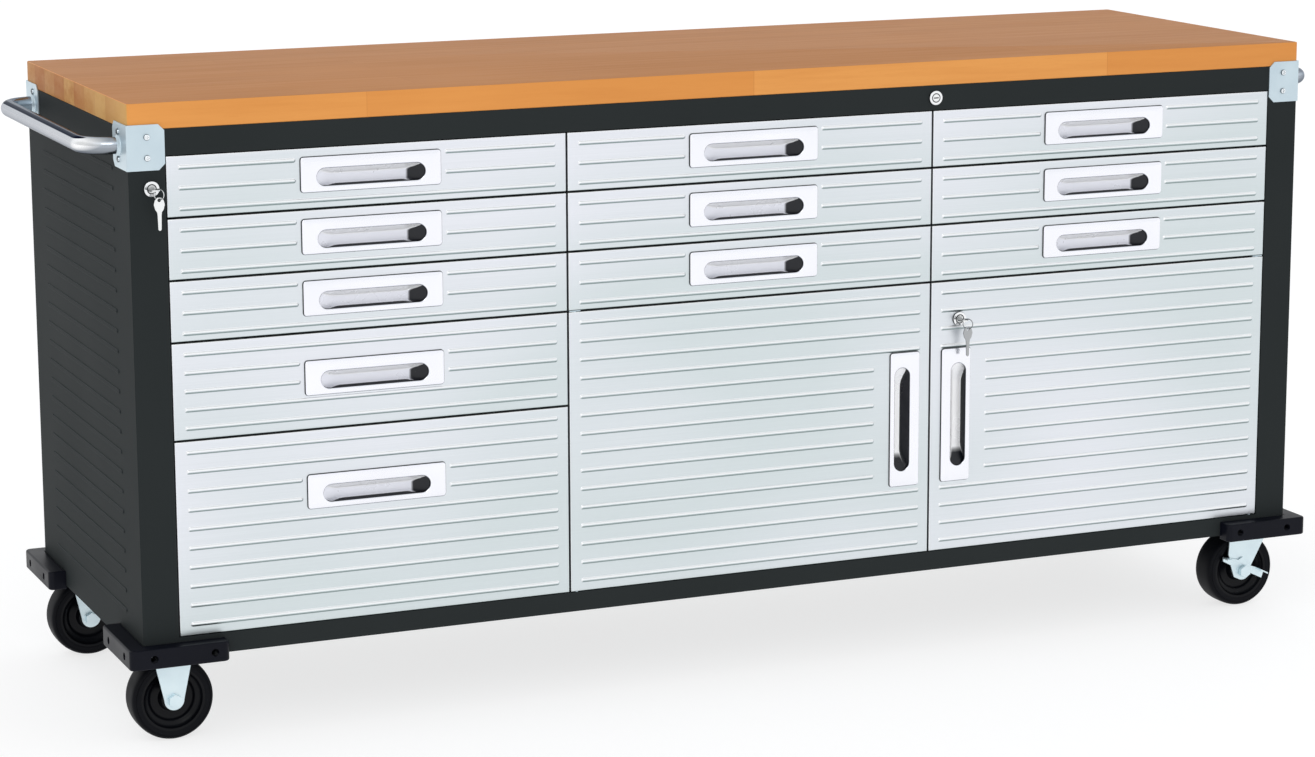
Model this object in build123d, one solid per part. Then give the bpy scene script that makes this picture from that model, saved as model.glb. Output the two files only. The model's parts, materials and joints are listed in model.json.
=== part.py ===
"""Rolling workbench: a steel cabinet with eleven drawers and a double-door bay under a wooden top.

The frame: origin on the floor under the middle of the cabinet, +X to the right, +Y to the back, +Z up,
so the drawer fronts face -Y.  All sizes are in millimetres.
"""

from build123d import *
import math
import os

# Whole bench
bench_width = 1956.0
bench_depth = 606.0
bench_height = 952.5
wood_thickness = 38.0
cabinet_bottom = 135.0
sheet = 1.5

# Face frame and the three equal columns of fronts inside it
stile_width = 54.0
opening_top = 876.0
opening_bottom = 165.0
column_count = 3
front_gap = 3.0
front_depth = 18.0
front_sheet = 1.2
small_row = 91.0
small_rows = 3
left_row_heights = [small_row, small_row, small_row, 145.0, 293.0]

# Pressed ribs on the fronts
rib_width = 6.5
rib_height = 2.4
rib_first = 16.5
rib_margin = 16.5
rib_pull_gap = 6.5

# Shallow pressed ribs on the side panels
side_rib_half = 215.0
side_rib_height = 1.2
side_rib_low = 190.0
side_rib_count = 23
side_rib_pitch = 30.0

# Recessed pull: a plate on the face and a cup behind it
pull_length = 216.0
pull_height = 52.0
pull_plate = 2.5
slot_length = 166.0
slot_height = 25.0
slot_drop = 4.5
cup_depth = 13.0
cup_wall = 1.3
cup_pocket = 5.0
pull_top_small = 12.5
pull_top_deep = 66.0
door_pull_top = 107.0
door_pull_edge = 18.0
door_rib_start = 97.0

# Drawer boxes on two-member slides
slide_length = 500.0
slide_height = 45.0
slide_space = 13.0
drawer_depth = 510.0
drawer_sheet = 1.2
drawer_floor_gap = 8.0
drawer_top_gap = 12.0

# Bay behind the doors
shelf_height = 380.0
shelf_skirt = 20.0

# Push handles and their corner brackets
tube_radius = 12.5
tube_bend = 44.0
handle_reach = 61.5
handle_height = 889.0
handle_setback = 43.0
bracket_sheet = 2.0
bracket_front_wing = 54.0
bracket_side_wing = 74.0
bracket_bottom = 856.0
bracket_top = 922.0
bracket_chamfer = 9.0

# Corner bumpers
bumper_reach = 27.0
bumper_length_x = 150.0
bumper_length_y = 165.0
bumper_bottom = 129.0
bumper_height = 30.0

# Casters
wheel_radius = 62.5
wheel_width = 46.0
wheel_from_front = 56.0
rigid_wheel_inset = 51.0
swivel_pin_inset = 37.0
swivel_trail = 22.0
axle_radius = 6.0
running_gap = 0.06
fork_gap = 2.5
fork_sheet = 3.0
caster_plate_top = 150.0
caster_plate_x = 66.0
caster_plate_y = 95.0

# Locks and keys
bezel_radius = 11.5
bezel_height = 3.0
barrel_radius = 9.0
barrel_length = 22.0
plug_radius = 6.2
key_bow_radius = 9.0
key_bow_hole = 4.0
key_bow_rim = 2.0
key_neck = 1.5
key_sheet = 2.0
spare_sheet = 1.5
ring_radius = 8.0
ring_wire = 0.7

# Places worked out from the driving sizes
half_width = bench_width / 2
front = -bench_depth / 2
back = bench_depth / 2
cabinet_top = bench_height - wood_thickness
opening_half = half_width - stile_width
column_width = 2 * opening_half / column_count
column_edges = [-opening_half + column_width * i for i in range(column_count + 1)]
column_wall = 1.5
carcass_front = front + front_depth + 2.0
door_swing_room = 4.0
front_back = front + front_depth
inner_back = back - sheet
floor_top = caster_plate_top + sheet
door_top = opening_top - small_rows * small_row
bay_left = column_edges[1] + column_wall
bay_right = column_edges[3] - column_wall
ceiling_top = door_top - 0.75
wheel_y = wheel_from_front - bench_depth / 2
rigid_x = -half_width + rigid_wheel_inset
swivel_x = half_width - swivel_pin_inset
axle_z = wheel_radius

os.makedirs("parts", exist_ok=True)


def save(name, shapes):
    """Write one node; a node of several loose pieces keeps each as its own solid."""
    pieces = shapes if isinstance(shapes, list) else [shapes]
    solids = [solid for piece in pieces for solid in piece.solids()]
    shape = solids[0] if len(solids) == 1 else Compound(solids)
    export_step(shape, f"parts/{name}.step")


def block(x0, x1, y0, y1, z0, z1):
    """A box between two corners, whichever way round each pair is given."""
    centre = Pos((x0 + x1) / 2, (y0 + y1) / 2, (z0 + z1) / 2)
    return centre * Box(abs(x1 - x0), abs(y1 - y0), abs(z1 - z0))


def along(direction, place, shape):
    """Turn a shape modelled along +Z so that it points along a direction, and put it in place."""
    return Plane(origin=place, z_dir=direction).location * shape


def cylinder_from(place, direction, radius, length):
    """A round bar that starts at a place and runs along a direction."""
    bar = Cylinder(radius, length, align=(Align.CENTER, Align.CENTER, Align.MIN))
    return along(direction, place, bar)


def mirrored(shape, side_x=1, side_y=1):
    """Copy a shape to the other side of the bench in X, in Y or in both."""
    result = shape if side_x > 0 else mirror(shape, about=Plane.YZ)
    return result if side_y > 0 else mirror(result, about=Plane.XZ)


def flat_face(points):
    """A closed flat outline in a plane's own two directions."""
    return make_face(Polyline(*points, close=True))


# ---------------------------------------------------------------- fasteners


screw_places = []
screw_head_radius = 4.6
screw_head_height = 2.4
screw_shank_radius = 2.0
screw_shank_length = 7.0
screw_hole_gap = 0.15
screw_reach = 8.0


def add_screw(place, direction):
    """Remember a screw whose head stands on a face and whose shank goes in against the direction."""
    screw_places.append((place, direction))


def screw(place, direction):
    head = Cylinder(screw_head_radius, screw_head_height, align=(Align.CENTER, Align.CENTER, Align.MIN))
    head = fillet(head.edges().sort_by(Axis.Z)[-1], screw_head_height * 0.6)
    drive = Pos(0, 0, screw_head_height) * Box(1.2, 5.0, 2.0)
    drive += Pos(0, 0, screw_head_height) * Box(5.0, 1.2, 2.0)
    shank = Pos(0, 0, -screw_shank_length / 2) * Cylinder(screw_shank_radius, screw_shank_length)
    return along(direction, place, head - drive + shank)


def drilled(shape):
    """Cut the clearance holes of every screw that passes through a shape."""
    box = shape.bounding_box()
    for place, direction in screw_places:
        near = all(low - screw_reach < p < high + screw_reach for low, p, high in zip(box.min, place, box.max))
        if near:
            inward = tuple(-d for d in direction)
            start = tuple(p + 4 * d for p, d in zip(place, direction))
            radius = screw_shank_radius + screw_hole_gap
            shape -= cylinder_from(start, inward, radius, screw_shank_length + 6)
    return shape


def place_bracket_screws():
    """Two screws on each wing of each handle bracket."""
    middle = (bracket_bottom + bracket_top) / 2
    for side_x in (-1, 1):
        for side_y in (-1, 1):
            for rise in (-15.0, 15.0):
                x = side_x * (half_width - 28.0)
                y = side_y * (back + bracket_sheet)
                add_screw((x, y, middle + rise), (0, side_y, 0))
            for rise in (-20.0, 20.0):
                x = side_x * (half_width + bracket_sheet)
                y = side_y * (back - handle_setback)
                add_screw((x, y, middle + rise), (side_x, 0, 0))


def place_bumper_screws():
    """Two screws in a shallow well on each outer face of each bumper."""
    z = bumper_bottom + bumper_height / 2
    for side_x in (-1, 1):
        for side_y in (-1, 1):
            for inset in (36.0, 127.0):
                x = side_x * (half_width + bumper_reach - inset)
                add_screw((x, side_y * (back + 3.0), z), (0, side_y, 0))
                y = side_y * (back + bumper_reach - inset)
                add_screw((side_x * (half_width + 3.0), y, z), (side_x, 0, 0))


# ---------------------------------------------------------------- cabinet


def lock_hole(x, z):
    """The round hole that a lock barrel passes through in a front face."""
    return cylinder_from((x, front - 5, z), (0, 1, 0), barrel_radius + 0.1, 30)


def make_side_rib(side, z):
    """Shallow rib with round ends, standing out from a side panel."""
    stadium = Plane.YZ * Pos(0, z) * SlotOverall(2 * side_rib_half, rib_width)
    rib = extrude(stadium, amount=side_rib_height)
    rib = Pos(half_width, 0, 0) * fillet(rib.faces().sort_by(Axis.X)[-1].edges(), side_rib_height * 0.7)
    return mirrored(rib, side)


def make_side_panel(side):
    """Outer side sheet with pressed ribs, and a folded top edge that carries the wood."""
    panel = block(side * (half_width - sheet), side * half_width, front, back, cabinet_bottom, cabinet_top)
    outer_edges = panel.edges().filter_by(Axis.Z).sort_by(Axis.X)
    corners = outer_edges[:2] if side < 0 else outer_edges[-2:]
    panel = fillet(corners, sheet * 0.8)
    fold_x = side * (half_width - sheet)
    fold = block(fold_x, fold_x - side * 24, front + 30, back - 10, cabinet_top - sheet, cabinet_top)
    panel += fold
    for i in range(side_rib_count):
        panel += make_side_rib(side, side_rib_low + i * side_rib_pitch)
    return drilled(panel)


def make_side_liners():
    """Inner sheets that close the drawer space behind each stile; their front fold stiffens them."""
    liners = []
    top = cabinet_top - sheet
    for side in (-1, 1):
        inner = side * (opening_half - column_wall)
        outer = side * opening_half
        web = block(inner, outer, carcass_front, inner_back, floor_top, top)
        front_fold = block(outer, outer + side * 10, carcass_front, carcass_front + sheet, floor_top, top)
        back_fold = block(outer, outer + side * 20, inner_back - sheet, inner_back, floor_top, top)
        liners.append(web + front_fold + back_fold)
    return liners


def make_back_panel():
    inner = half_width - sheet
    return drilled(block(-inner, inner, inner_back, back, cabinet_bottom, cabinet_top))


def make_base_pan():
    """Floor sheet with a skirt folded down all round; the caster plates bolt up under it."""
    inner = half_width - sheet
    tray = block(-inner, inner, front + sheet, inner_back, cabinet_bottom, floor_top)
    hollow_x = inner - sheet
    hollow = block(-hollow_x, hollow_x, front + 2 * sheet, inner_back - sheet, cabinet_bottom - 1, caster_plate_top)
    return drilled(tray - hollow)


def make_face_frame():
    """Front frame: stiles, top rail and bottom rail in one sheet, with its opening folded inwards."""
    inner = half_width - sheet
    plate = block(-inner, inner, front, front + sheet, cabinet_bottom, cabinet_top)
    fold = block(-opening_half - sheet, opening_half + sheet, front, front_back,
                 opening_bottom - sheet, opening_top + sheet)
    top_flange = block(-inner + 2, inner - 2, front, front + 26, cabinet_top - sheet, cabinet_top)
    frame = plate + fold + top_flange
    frame -= block(-opening_half, opening_half, front - 1, front_back + 1, opening_bottom, opening_top)
    for x, z in (stile_lock, rail_lock):
        frame -= lock_hole(x, z)
    for door in (-1, 1):
        pivot_x, pivot_y = door_pivot(door)
        frame -= Pos(pivot_x, pivot_y, opening_bottom) * Cylinder(pin_radius + 0.1, 8)
    return drilled(frame)


def make_dividers():
    """Upright sheets between the columns; the right one stands on the bay's ceiling, notched for the rail lock."""
    top = cabinet_top - sheet
    left = block(column_edges[1] - column_wall, column_edges[1] + column_wall,
                 carcass_front, inner_back, floor_top, top)
    right = block(column_edges[2] - column_wall, column_edges[2] + column_wall,
                  carcass_front, inner_back, ceiling_top, top)
    notch = block(column_edges[2] - 5, column_edges[2] + 5, carcass_front - 1, carcass_front + 16,
                  opening_top + 1, cabinet_top)
    return [left, right - notch]


def make_bay_ceiling():
    """Sheet between the drawers and the bay; it stops short of the doors' swinging back edges."""
    return block(bay_left, bay_right, carcass_front + door_swing_room, inner_back, ceiling_top - sheet, ceiling_top)


def make_bay_shelf():
    """Loose shelf with its four edges folded down."""
    gap = 2.0
    x0, x1 = bay_left + gap, bay_right - gap
    y0, y1 = carcass_front + 14, inner_back - gap
    tray = block(x0, x1, y0, y1, shelf_height - shelf_skirt, shelf_height)
    hollow = block(x0 + sheet, x1 - sheet, y0 + sheet, y1 - sheet, shelf_height - shelf_skirt - 1,
                   shelf_height - sheet)
    return tray - hollow


def make_shelf_clips():
    """Four small ledges on the bay's walls that the shelf stands on."""
    clips = []
    z1 = shelf_height - shelf_skirt
    for wall, step in ((bay_left, 1), (bay_right, -1)):
        for y in (carcass_front + 60, inner_back - 60):
            ledge = block(wall, wall + step * 8, y - 8, y + 8, z1 - 2, z1)
            leg = block(wall, wall + step * 2, y - 8, y + 8, z1 - 14, z1)
            clips.append(ledge + leg)
    return clips


def make_catches():
    """Two magnet catches under the bay's ceiling that hold the closed doors."""
    middle = column_edges[2]
    return [
        block(middle + step * 18, middle + step * 58, front_back + 1.0, front_back + 17,
              ceiling_top - sheet - 14, ceiling_top - sheet)
        for step in (-1, 1)
    ]


def make_top_members():
    """Channels from front to back that carry the wooden top."""
    members = []
    width, height = 40.0, 25.0
    for x in (-column_width, 0.0, column_width):
        y0, y1 = front + 26, inner_back
        outer = block(x - width / 2, x + width / 2, y0, y1, cabinet_top - height, cabinet_top)
        inner = block(x - width / 2 + sheet, x + width / 2 - sheet, y0 - 1, y1 + 1,
                      cabinet_top - height - 1, cabinet_top - sheet)
        members.append(outer - inner)
    return members


def make_wood_top():
    top = block(-half_width, half_width, front, back, cabinet_top, bench_height)
    top = fillet(top.edges().filter_by(Axis.Z), 4.0)
    upper = top.faces().sort_by(Axis.Z)[-1]
    return fillet(upper.edges(), 2.0)


# ---------------------------------------------------------------- bumpers, brackets and handles


def make_corner_bumpers():
    """Moulded corner guards: an L in plan with rounded ends, recessed for its screws."""
    x_out = half_width + bumper_reach
    y_out = back + bumper_reach
    outline = flat_face([
        (x_out, y_out),
        (x_out - bumper_length_x, y_out),
        (x_out - bumper_length_x, back),
        (half_width, back),
        (half_width, y_out - bumper_length_y),
        (x_out, y_out - bumper_length_y),
    ])
    guard = extrude(Pos(0, 0, bumper_bottom) * outline, bumper_height)
    uprights = guard.edges().filter_by(Axis.Z)
    corner = uprights.filter_by_position(Axis.X, x_out - 1, x_out + 1).sort_by(Axis.Y)[-1]
    end_x = uprights.sort_by(Axis.X)[:2].sort_by(Axis.Y)[-1]
    end_y = uprights.sort_by(Axis.Y)[:2].sort_by(Axis.X)[-1]
    guard = fillet([corner, end_x, end_y], 9.0)
    rims = guard.faces().filter_by(Axis.Z)
    guard = fillet(rims.edges().filter_by(
        lambda edge: edge.center().X > half_width + 2 or edge.center().Y > back + 2), 3.0)
    well_radius = screw_head_radius + 1.2
    guards = [mirrored(guard, side_x, side_y) for side_x in (-1, 1) for side_y in (-1, 1)]
    cut = []
    for guard in guards:
        box = guard.bounding_box()
        for place, direction in screw_places:
            if all(low < p < high for low, p, high in zip(box.min, place, box.max)):
                guard -= cylinder_from(place, direction, well_radius, bumper_reach + 4)
        cut.append(drilled(guard))
    return cut


def make_handle_brackets():
    """Folded corner plates over the joint of cabinet and wood, with clipped free corners."""
    side_plate = block(half_width, half_width + bracket_sheet, back - bracket_side_wing,
                       back + bracket_sheet, bracket_bottom, bracket_top)
    front_plate = block(half_width - bracket_front_wing, half_width + bracket_sheet,
                        back, back + bracket_sheet, bracket_bottom, bracket_top)
    side_plate = chamfer(side_plate.edges().filter_by(Axis.X).sort_by(Axis.Y)[:2], bracket_chamfer)
    front_plate = chamfer(front_plate.edges().filter_by(Axis.Y).sort_by(Axis.X)[:2], bracket_chamfer)
    bracket = side_plate + front_plate
    fold = bracket.edges().filter_by(Axis.Z).sort_by(Axis.X)[-2:].sort_by(Axis.Y)[-1]
    bracket = fillet(fold, bracket_sheet * 0.9)
    return [drilled(mirrored(bracket, side_x, side_y)) for side_x in (-1, 1) for side_y in (-1, 1)]


def make_push_handles():
    """Bent tube along each end of the bench, welded to two brackets."""
    x0 = half_width + bracket_sheet
    x1 = half_width + handle_reach - tube_radius
    y = back - handle_setback
    path = FilletPolyline((x0, -y, 0), (x1, -y, 0), (x1, y, 0), (x0, y, 0), radius=tube_bend)
    section = Plane(origin=(x0, -y, 0), z_dir=(1, 0, 0)) * (Circle(tube_radius) - Circle(tube_radius - 2.0))
    tube = Pos(0, 0, handle_height) * sweep(section, path=path)
    return [tube, mirrored(tube, -1)]


# ---------------------------------------------------------------- casters


def make_wheel():
    """Tyre on a dished core, both turned about +Y with the axle at the origin."""
    half = wheel_width / 2
    tread = half - 6.0
    tyre_inner = wheel_radius - 14.0
    tyre_outline = [
        (tyre_inner, -half), (wheel_radius - 6.0, -half), (wheel_radius - 1.0, -tread),
        (wheel_radius, -tread * 0.5), (wheel_radius, tread * 0.5),
        (wheel_radius - 1.0, tread), (wheel_radius - 6.0, half), (tyre_inner, half),
    ]
    hub, web = 20.0, 9.0
    bore = axle_radius + running_gap
    core_outline = [
        (bore, -half), (hub - 2.0, -half), (hub, -half + 2.0), (hub + 3.0, -web), (tyre_inner - 7.0, -web),
        (tyre_inner - 3.0, -half + 1.0), (tyre_inner, -half + 1.0),
        (tyre_inner, half - 1.0), (tyre_inner - 3.0, half - 1.0), (tyre_inner - 7.0, web),
        (hub + 3.0, web), (hub, half - 2.0), (hub - 2.0, half), (bore, half),
    ]
    pieces = []
    for outline in (tyre_outline, core_outline):
        profile = flat_face([(r, y) for r, y in outline])
        pieces.append(revolve(profile, axis=Axis.Y))
    return pieces


def leg_outline(points, foot_x, foot_radius):
    """Flat fork leg: straight-sided above, round about the axle below."""
    face = flat_face(points) + Pos(foot_x, axle_z) * Circle(foot_radius)
    return face - Pos(foot_x, axle_z) * Circle(axle_radius + 0.1)


def fork_legs(centre_x, centre_y, face):
    """Two legs cut from one outline in X and Z, one each side of the wheel."""
    legs = []
    inner = wheel_width / 2 + fork_gap
    for side in (-1, 1):
        flat = Plane(origin=(centre_x, centre_y + side * inner, 0), x_dir=(1, 0, 0), z_dir=(0, -1, 0)) * face
        legs.append(extrude(flat, amount=fork_sheet, dir=(0, side, 0)))
    return legs


def axle_bolt(centre_x, centre_y, front_stack):
    """Bolt through a fork: hexagon head at the front, nut behind."""
    reach = wheel_width / 2 + fork_gap + fork_sheet
    y0 = centre_y - reach - front_stack
    y1 = centre_y + reach
    place = (centre_x, y0, axle_z)
    bolt = cylinder_from(place, (0, 1, 0), axle_radius, y1 - y0 + 9.0)
    hexagon = extrude(RegularPolygon(10.5, 6), 7.0)
    bolt += along((0, -1, 0), place, hexagon)
    bolt += along((0, 1, 0), (centre_x, y1, axle_z), hexagon)
    return bolt


def caster_plate(x, y):
    z = caster_plate_top
    plate = block(x - caster_plate_x / 2, x + caster_plate_x / 2,
                  y - caster_plate_y / 2, y + caster_plate_y / 2, z - fork_sheet, z)
    plate = fillet(plate.edges().filter_by(Axis.Z), 8.0)
    return drilled(plate)


def place_caster_screws():
    """Four screws up through each caster plate into the base pan."""
    for x in (rigid_x, swivel_x):
        for y in (wheel_y, -wheel_y):
            for dx in (-24.0, 24.0):
                for dy in (-38.0, 38.0):
                    add_screw((x + dx, y + dy, caster_plate_top - fork_sheet), (0, 0, -1))


def make_rigid_casters():
    """Left pair: plate, folded fork and axle bolt."""
    pieces = []
    crown_z = caster_plate_top - fork_sheet
    half = wheel_width / 2 + fork_gap + fork_sheet
    face = leg_outline([(-31, crown_z), (31, crown_z), (31, crown_z - 12), (15, axle_z), (-15, axle_z),
                        (-31, crown_z - 12)], 0, 15.0)
    for y in (wheel_y, -wheel_y):
        fork = caster_plate(rigid_x, y)
        fork += block(rigid_x - 31, rigid_x + 31, y - half, y + half, crown_z - fork_sheet, crown_z)
        for leg in fork_legs(rigid_x, y, face):
            fork += leg
        pieces += [fork, axle_bolt(rigid_x, y, 0.0)]
    return pieces


crown_bottom = 134.0
race_bottom = crown_bottom + fork_sheet + 0.5


def make_swivel_plates():
    """Right pair, fixed half: plate, ball race housing and kingpin with its nut."""
    pieces = []
    for y in (wheel_y, -wheel_y):
        plate = caster_plate(swivel_x, y)
        race = cylinder_from((swivel_x, y, race_bottom), (0, 0, 1), 25.0,
                             caster_plate_top - fork_sheet - race_bottom)
        kingpin = cylinder_from((swivel_x, y, 128.0), (0, 0, 1), axle_radius, race_bottom - 128.0)
        nut = cylinder_from((swivel_x, y, 128.0), (0, 0, 1), 10.0, crown_bottom - 0.4 - 128.0)
        pieces.append(plate + race + kingpin + nut)
    return pieces


def make_swivel_fork(y):
    """Turning half: round crown on the kingpin, legs that trail back to the axle, and the axle bolt."""
    trail = -swivel_trail
    top = crown_bottom + fork_sheet
    face = leg_outline([(-17, top), (17, top), (20, 128), (26, 127), (trail + 15, axle_z + 4),
                        (trail - 15, axle_z), (-50, 92), (-48, 117), (-20, 128)], trail, 16.0)
    crown = cylinder_from((swivel_x, y, crown_bottom), (0, 0, 1), 29.0, fork_sheet)
    half = wheel_width / 2 + fork_gap + fork_sheet
    crown += block(swivel_x - 17, swivel_x + 17, y - half, y + half, crown_bottom, top)
    fork = crown
    for leg in fork_legs(swivel_x, y, face):
        fork += leg
    fork -= cylinder_from((swivel_x, y, crown_bottom - 1), (0, 0, 1), axle_radius + running_gap, fork_sheet + 2)
    return [fork, axle_bolt(swivel_x + trail, y, pedal_stack)]


pedal_sheet = 2.5
pedal_stack = pedal_sheet + 1.0
pedal_tread = 14.0
left_tread = ((-40.0, 27.0), (-29.0, 24.6))
right_tread = ((26.0, 3.0), (40.0, -4.0))


def make_brake_pedal(y):
    """Tilted rocker on the axle outside the front leg, with a tread folded out at each end."""
    x = swivel_x - swivel_trail
    y1 = y - wheel_width / 2 - fork_gap - fork_sheet - 0.5
    y0 = y1 - pedal_sheet
    face = flat_face([*left_tread, (-10, 20), (-2, 24), (8, 14), (13, 8), *right_tread,
                      (36, -16), (13, -5), (6, -11), (-4, -13), (-13, -11.5), (-18, -9), (-25, 12), (-40, 20)])
    face -= Circle(axle_radius + running_gap)
    outer = Plane(origin=(x, y1, axle_z), x_dir=(1, 0, 0), z_dir=(0, -1, 0))
    pedal = extrude(outer * face, amount=pedal_sheet)
    for start, end in (left_tread, right_tread):
        strip = flat_face([start, end, (end[0], end[1] - pedal_sheet), (start[0], start[1] - pedal_sheet)])
        pedal += extrude(outer * strip, amount=y1 - y0 + pedal_tread)
    return pedal


# ---------------------------------------------------------------- locks and keys


stile_lock = (-half_width + 33.0, 829.5)
rail_lock = (column_edges[2] + 4.0, (opening_top + cabinet_top) / 2)
door_lock = (column_edges[2] + 51.0, 541.0)
lock_face = front - bezel_height


def make_lock_barrel(place):
    """Round bezel on the face and a threaded barrel behind it, bored for the plug."""
    x, z = place
    bezel = cylinder_from((x, front, z), (0, -1, 0), bezel_radius, bezel_height)
    bezel = fillet(bezel.edges().sort_by(Axis.Y)[0], 1.2)
    barrel = cylinder_from((x, front, z), (0, 1, 0), barrel_radius, barrel_length)
    bore = cylinder_from((x, front - 10, z), (0, 1, 0), plug_radius + running_gap, 60)
    return bezel + barrel - bore


def make_plug(place, cam_length, cam_turn):
    """Turning plug with a keyway in front and a flat cam behind; the cam hangs down, then turns."""
    x, z = place
    plug = cylinder_from((x, lock_face, z), (0, 1, 0), plug_radius, bezel_height + barrel_length + 0.5)
    plug -= block(x - 4.2, x + 4.2, lock_face - 1, lock_face + 1.6, z - 0.9, z + 0.9)
    cam_y = front + barrel_length + 0.5
    cam = block(-6, 6, cam_y, cam_y + 2.5, -cam_length, 7)
    return plug + Pos(x, 0, z) * Rot(0, cam_turn, 0) * cam


key_slant = math.cos(math.radians(45))


def bow_centre(place):
    """Middle of the bow of the key that is in a lock."""
    x, z = place
    return x, lock_face - key_neck - key_bow_radius, z


def make_key(place):
    """Key pushed into the plug: blade and a round bow that lies flat, with a ring hole at its front right."""
    x, z = place
    bow_y = bow_centre(place)[1]
    half = key_sheet / 2
    bow = Pos(x, bow_y, z) * Cylinder(key_bow_radius, key_sheet)
    neck = block(x - 3.6, x + 3.6, bow_y, lock_face, z - half, z + half)
    blade = block(x - 3.6, x + 3.6, lock_face, lock_face + 1.6, z - 0.8, z + 0.8)
    reach = (key_bow_radius - key_bow_rim - key_bow_hole) * key_slant
    hole = Pos(x + reach, bow_y - reach, z) * Cylinder(key_bow_hole, key_sheet + 2)
    return bow + neck + blade - hole


def ring_pivot(place):
    """Where a key ring hangs on the bow, just above the metal outside the ring hole."""
    x, y, z = bow_centre(place)
    reach = (key_bow_radius - key_bow_rim / 2) * key_slant
    return x + reach, y - reach, z + key_sheet / 2 + 0.4


def make_spare_key(place):
    """Split ring through the bow's hole, and a second key that hangs from it, facing forwards."""
    x, y, z = ring_pivot(place)
    ring_z = z + ring_wire - ring_radius
    ring = Plane(origin=(x, y, ring_z), z_dir=(key_slant, key_slant, 0)).location * Torus(ring_radius, ring_wire)
    hang = ring_z - ring_radius
    top = hang + 3.6
    outline = flat_face([(-3.0, top), (3.0, top), (6.5, top - 4), (8.0, top - 10),
                         (6.2, top - 17), (3.4, top - 21), (2.9, top - 25), (2.3, top - 46),
                         (0, top - 48), (-2.3, top - 46), (-2.9, top - 25), (-3.4, top - 21),
                         (-6.2, top - 17), (-8.0, top - 10), (-6.5, top - 4)])
    face = Plane(origin=(x, y + spare_sheet / 2, 0), x_dir=(1, 0, 0), z_dir=(0, -1, 0)) * outline
    blank = extrude(face, amount=spare_sheet)
    hole = cylinder_from((x, y - 4, hang), (0, 1, 0), 2.6, 8)
    return [ring, blank - hole]


# ---------------------------------------------------------------- fronts and pulls


def make_pull():
    """Recessed pull, lying along X about its plate's centre, with its face towards -Y.

    The scoop slopes in from the slot's upper edge and ends in a pocket behind the lower lip.
    """
    half_length = pull_length / 2
    half_height = pull_height / 2
    plate = block(-half_length, half_length, -pull_plate, 0, -half_height, half_height)
    plate = fillet(plate.edges().filter_by(Axis.Y), 5.0)
    plate = fillet(plate.faces().sort_by(Axis.Y)[0].edges(), 0.9)
    slot_top = slot_height / 2 - slot_drop
    slot_bottom = -slot_height / 2 - slot_drop
    half_slot = slot_length / 2
    cup = block(-half_slot - cup_wall, half_slot + cup_wall, 0, cup_depth + cup_wall,
                slot_bottom - cup_pocket - cup_wall, slot_top + cup_wall)
    scoop = Plane.YZ * flat_face([
        (-cup_wall, slot_top), (0.0, slot_top), (cup_depth, slot_top - 14.0), (cup_depth, slot_bottom - cup_pocket),
        (0.0, slot_bottom - cup_pocket), (0.0, slot_bottom), (-cup_wall, slot_bottom),
    ])
    slot = Plane.XZ * Pos(0, -slot_drop) * SlotOverall(slot_length, slot_height)
    scoop_part = extrude(scoop, amount=half_slot, both=True) & block(-500, 500, 0, 100, -500, 500)
    slot_part = extrude(slot, amount=20, both=True) & block(-500, 500, -50, 0.01, -500, 500)
    return plate + cup - scoop_part - slot_part


pull_shape = make_pull()
cut_half_x = slot_length / 2 + cup_wall + 0.6
cut_top = slot_height / 2 - slot_drop + cup_wall + 0.6
cut_bottom = -slot_height / 2 - slot_drop - cup_pocket - cup_wall - 0.6


def make_rib(x0, x1, z):
    """Pressed rib with round ends and soft edges, standing on the face at y = 0."""
    stadium = Plane.XZ * Pos((x0 + x1) / 2, z) * SlotOverall(x1 - x0, rib_width)
    rib = extrude(stadium, amount=rib_height)
    return fillet(rib.faces().sort_by(Axis.Y)[0].edges(), rib_height * 0.7)


def rib_spans(width, z, gap_x, gap_z):
    """Where one rib runs: right across, or stopping short of the pull."""
    low, high = -width / 2 + rib_margin, width / 2 - rib_margin
    if not gap_z[0] < z < gap_z[1]:
        return [(low, high)]
    spans = [(low, gap_x[0]), (gap_x[1], high)]
    return [span for span in spans if span[1] - span[0] > 3 * rib_width]


def make_front(width, height, rib_count, pull_place, pull_turn, gap_x, gap_z):
    """Folded front: face sheet, four returns, ribs, and the cut-out for the pull's cup.

    Its own frame has the face at y = 0, and x and z from the middle of the face.
    """
    half_x, half_z = width / 2, height / 2
    pan = block(-half_x, half_x, 0, front_depth, -half_z, half_z)
    pan = fillet(pan.faces().sort_by(Axis.Y)[0].edges(), 1.1)
    pan -= block(-half_x + front_sheet, half_x - front_sheet, front_sheet, front_depth + 1,
                 -half_z + front_sheet, half_z - front_sheet)
    rib_pitch = (height - 2 * rib_first) / (rib_count - 1) if rib_count > small_rows else 30.0
    for i in range(rib_count):
        z = half_z - rib_first - i * rib_pitch
        for x0, x1 in rib_spans(width, z, gap_x, gap_z):
            pan += make_rib(x0, x1, z)
    cut = block(-cut_half_x, cut_half_x, -5, front_sheet + 1, cut_bottom, cut_top)
    return pan - Pos(pull_place[0], 0, pull_place[1]) * Rot(0, pull_turn, 0) * cut


def make_drawer_front(height, rib_count, pull_top):
    """A front with its pull in the middle of its width; returns the two loose pieces."""
    width = column_width - front_gap
    pull_z = height / 2 - pull_top - pull_height / 2
    reach_x = pull_length / 2 + rib_pull_gap
    reach_z = pull_height / 2 + rib_width / 2
    panel = make_front(width, height, rib_count, (0, pull_z), 0,
                       (-reach_x, reach_x), (pull_z - reach_z, pull_z + reach_z))
    return [panel, Pos(0, 0, pull_z) * pull_shape]


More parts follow.
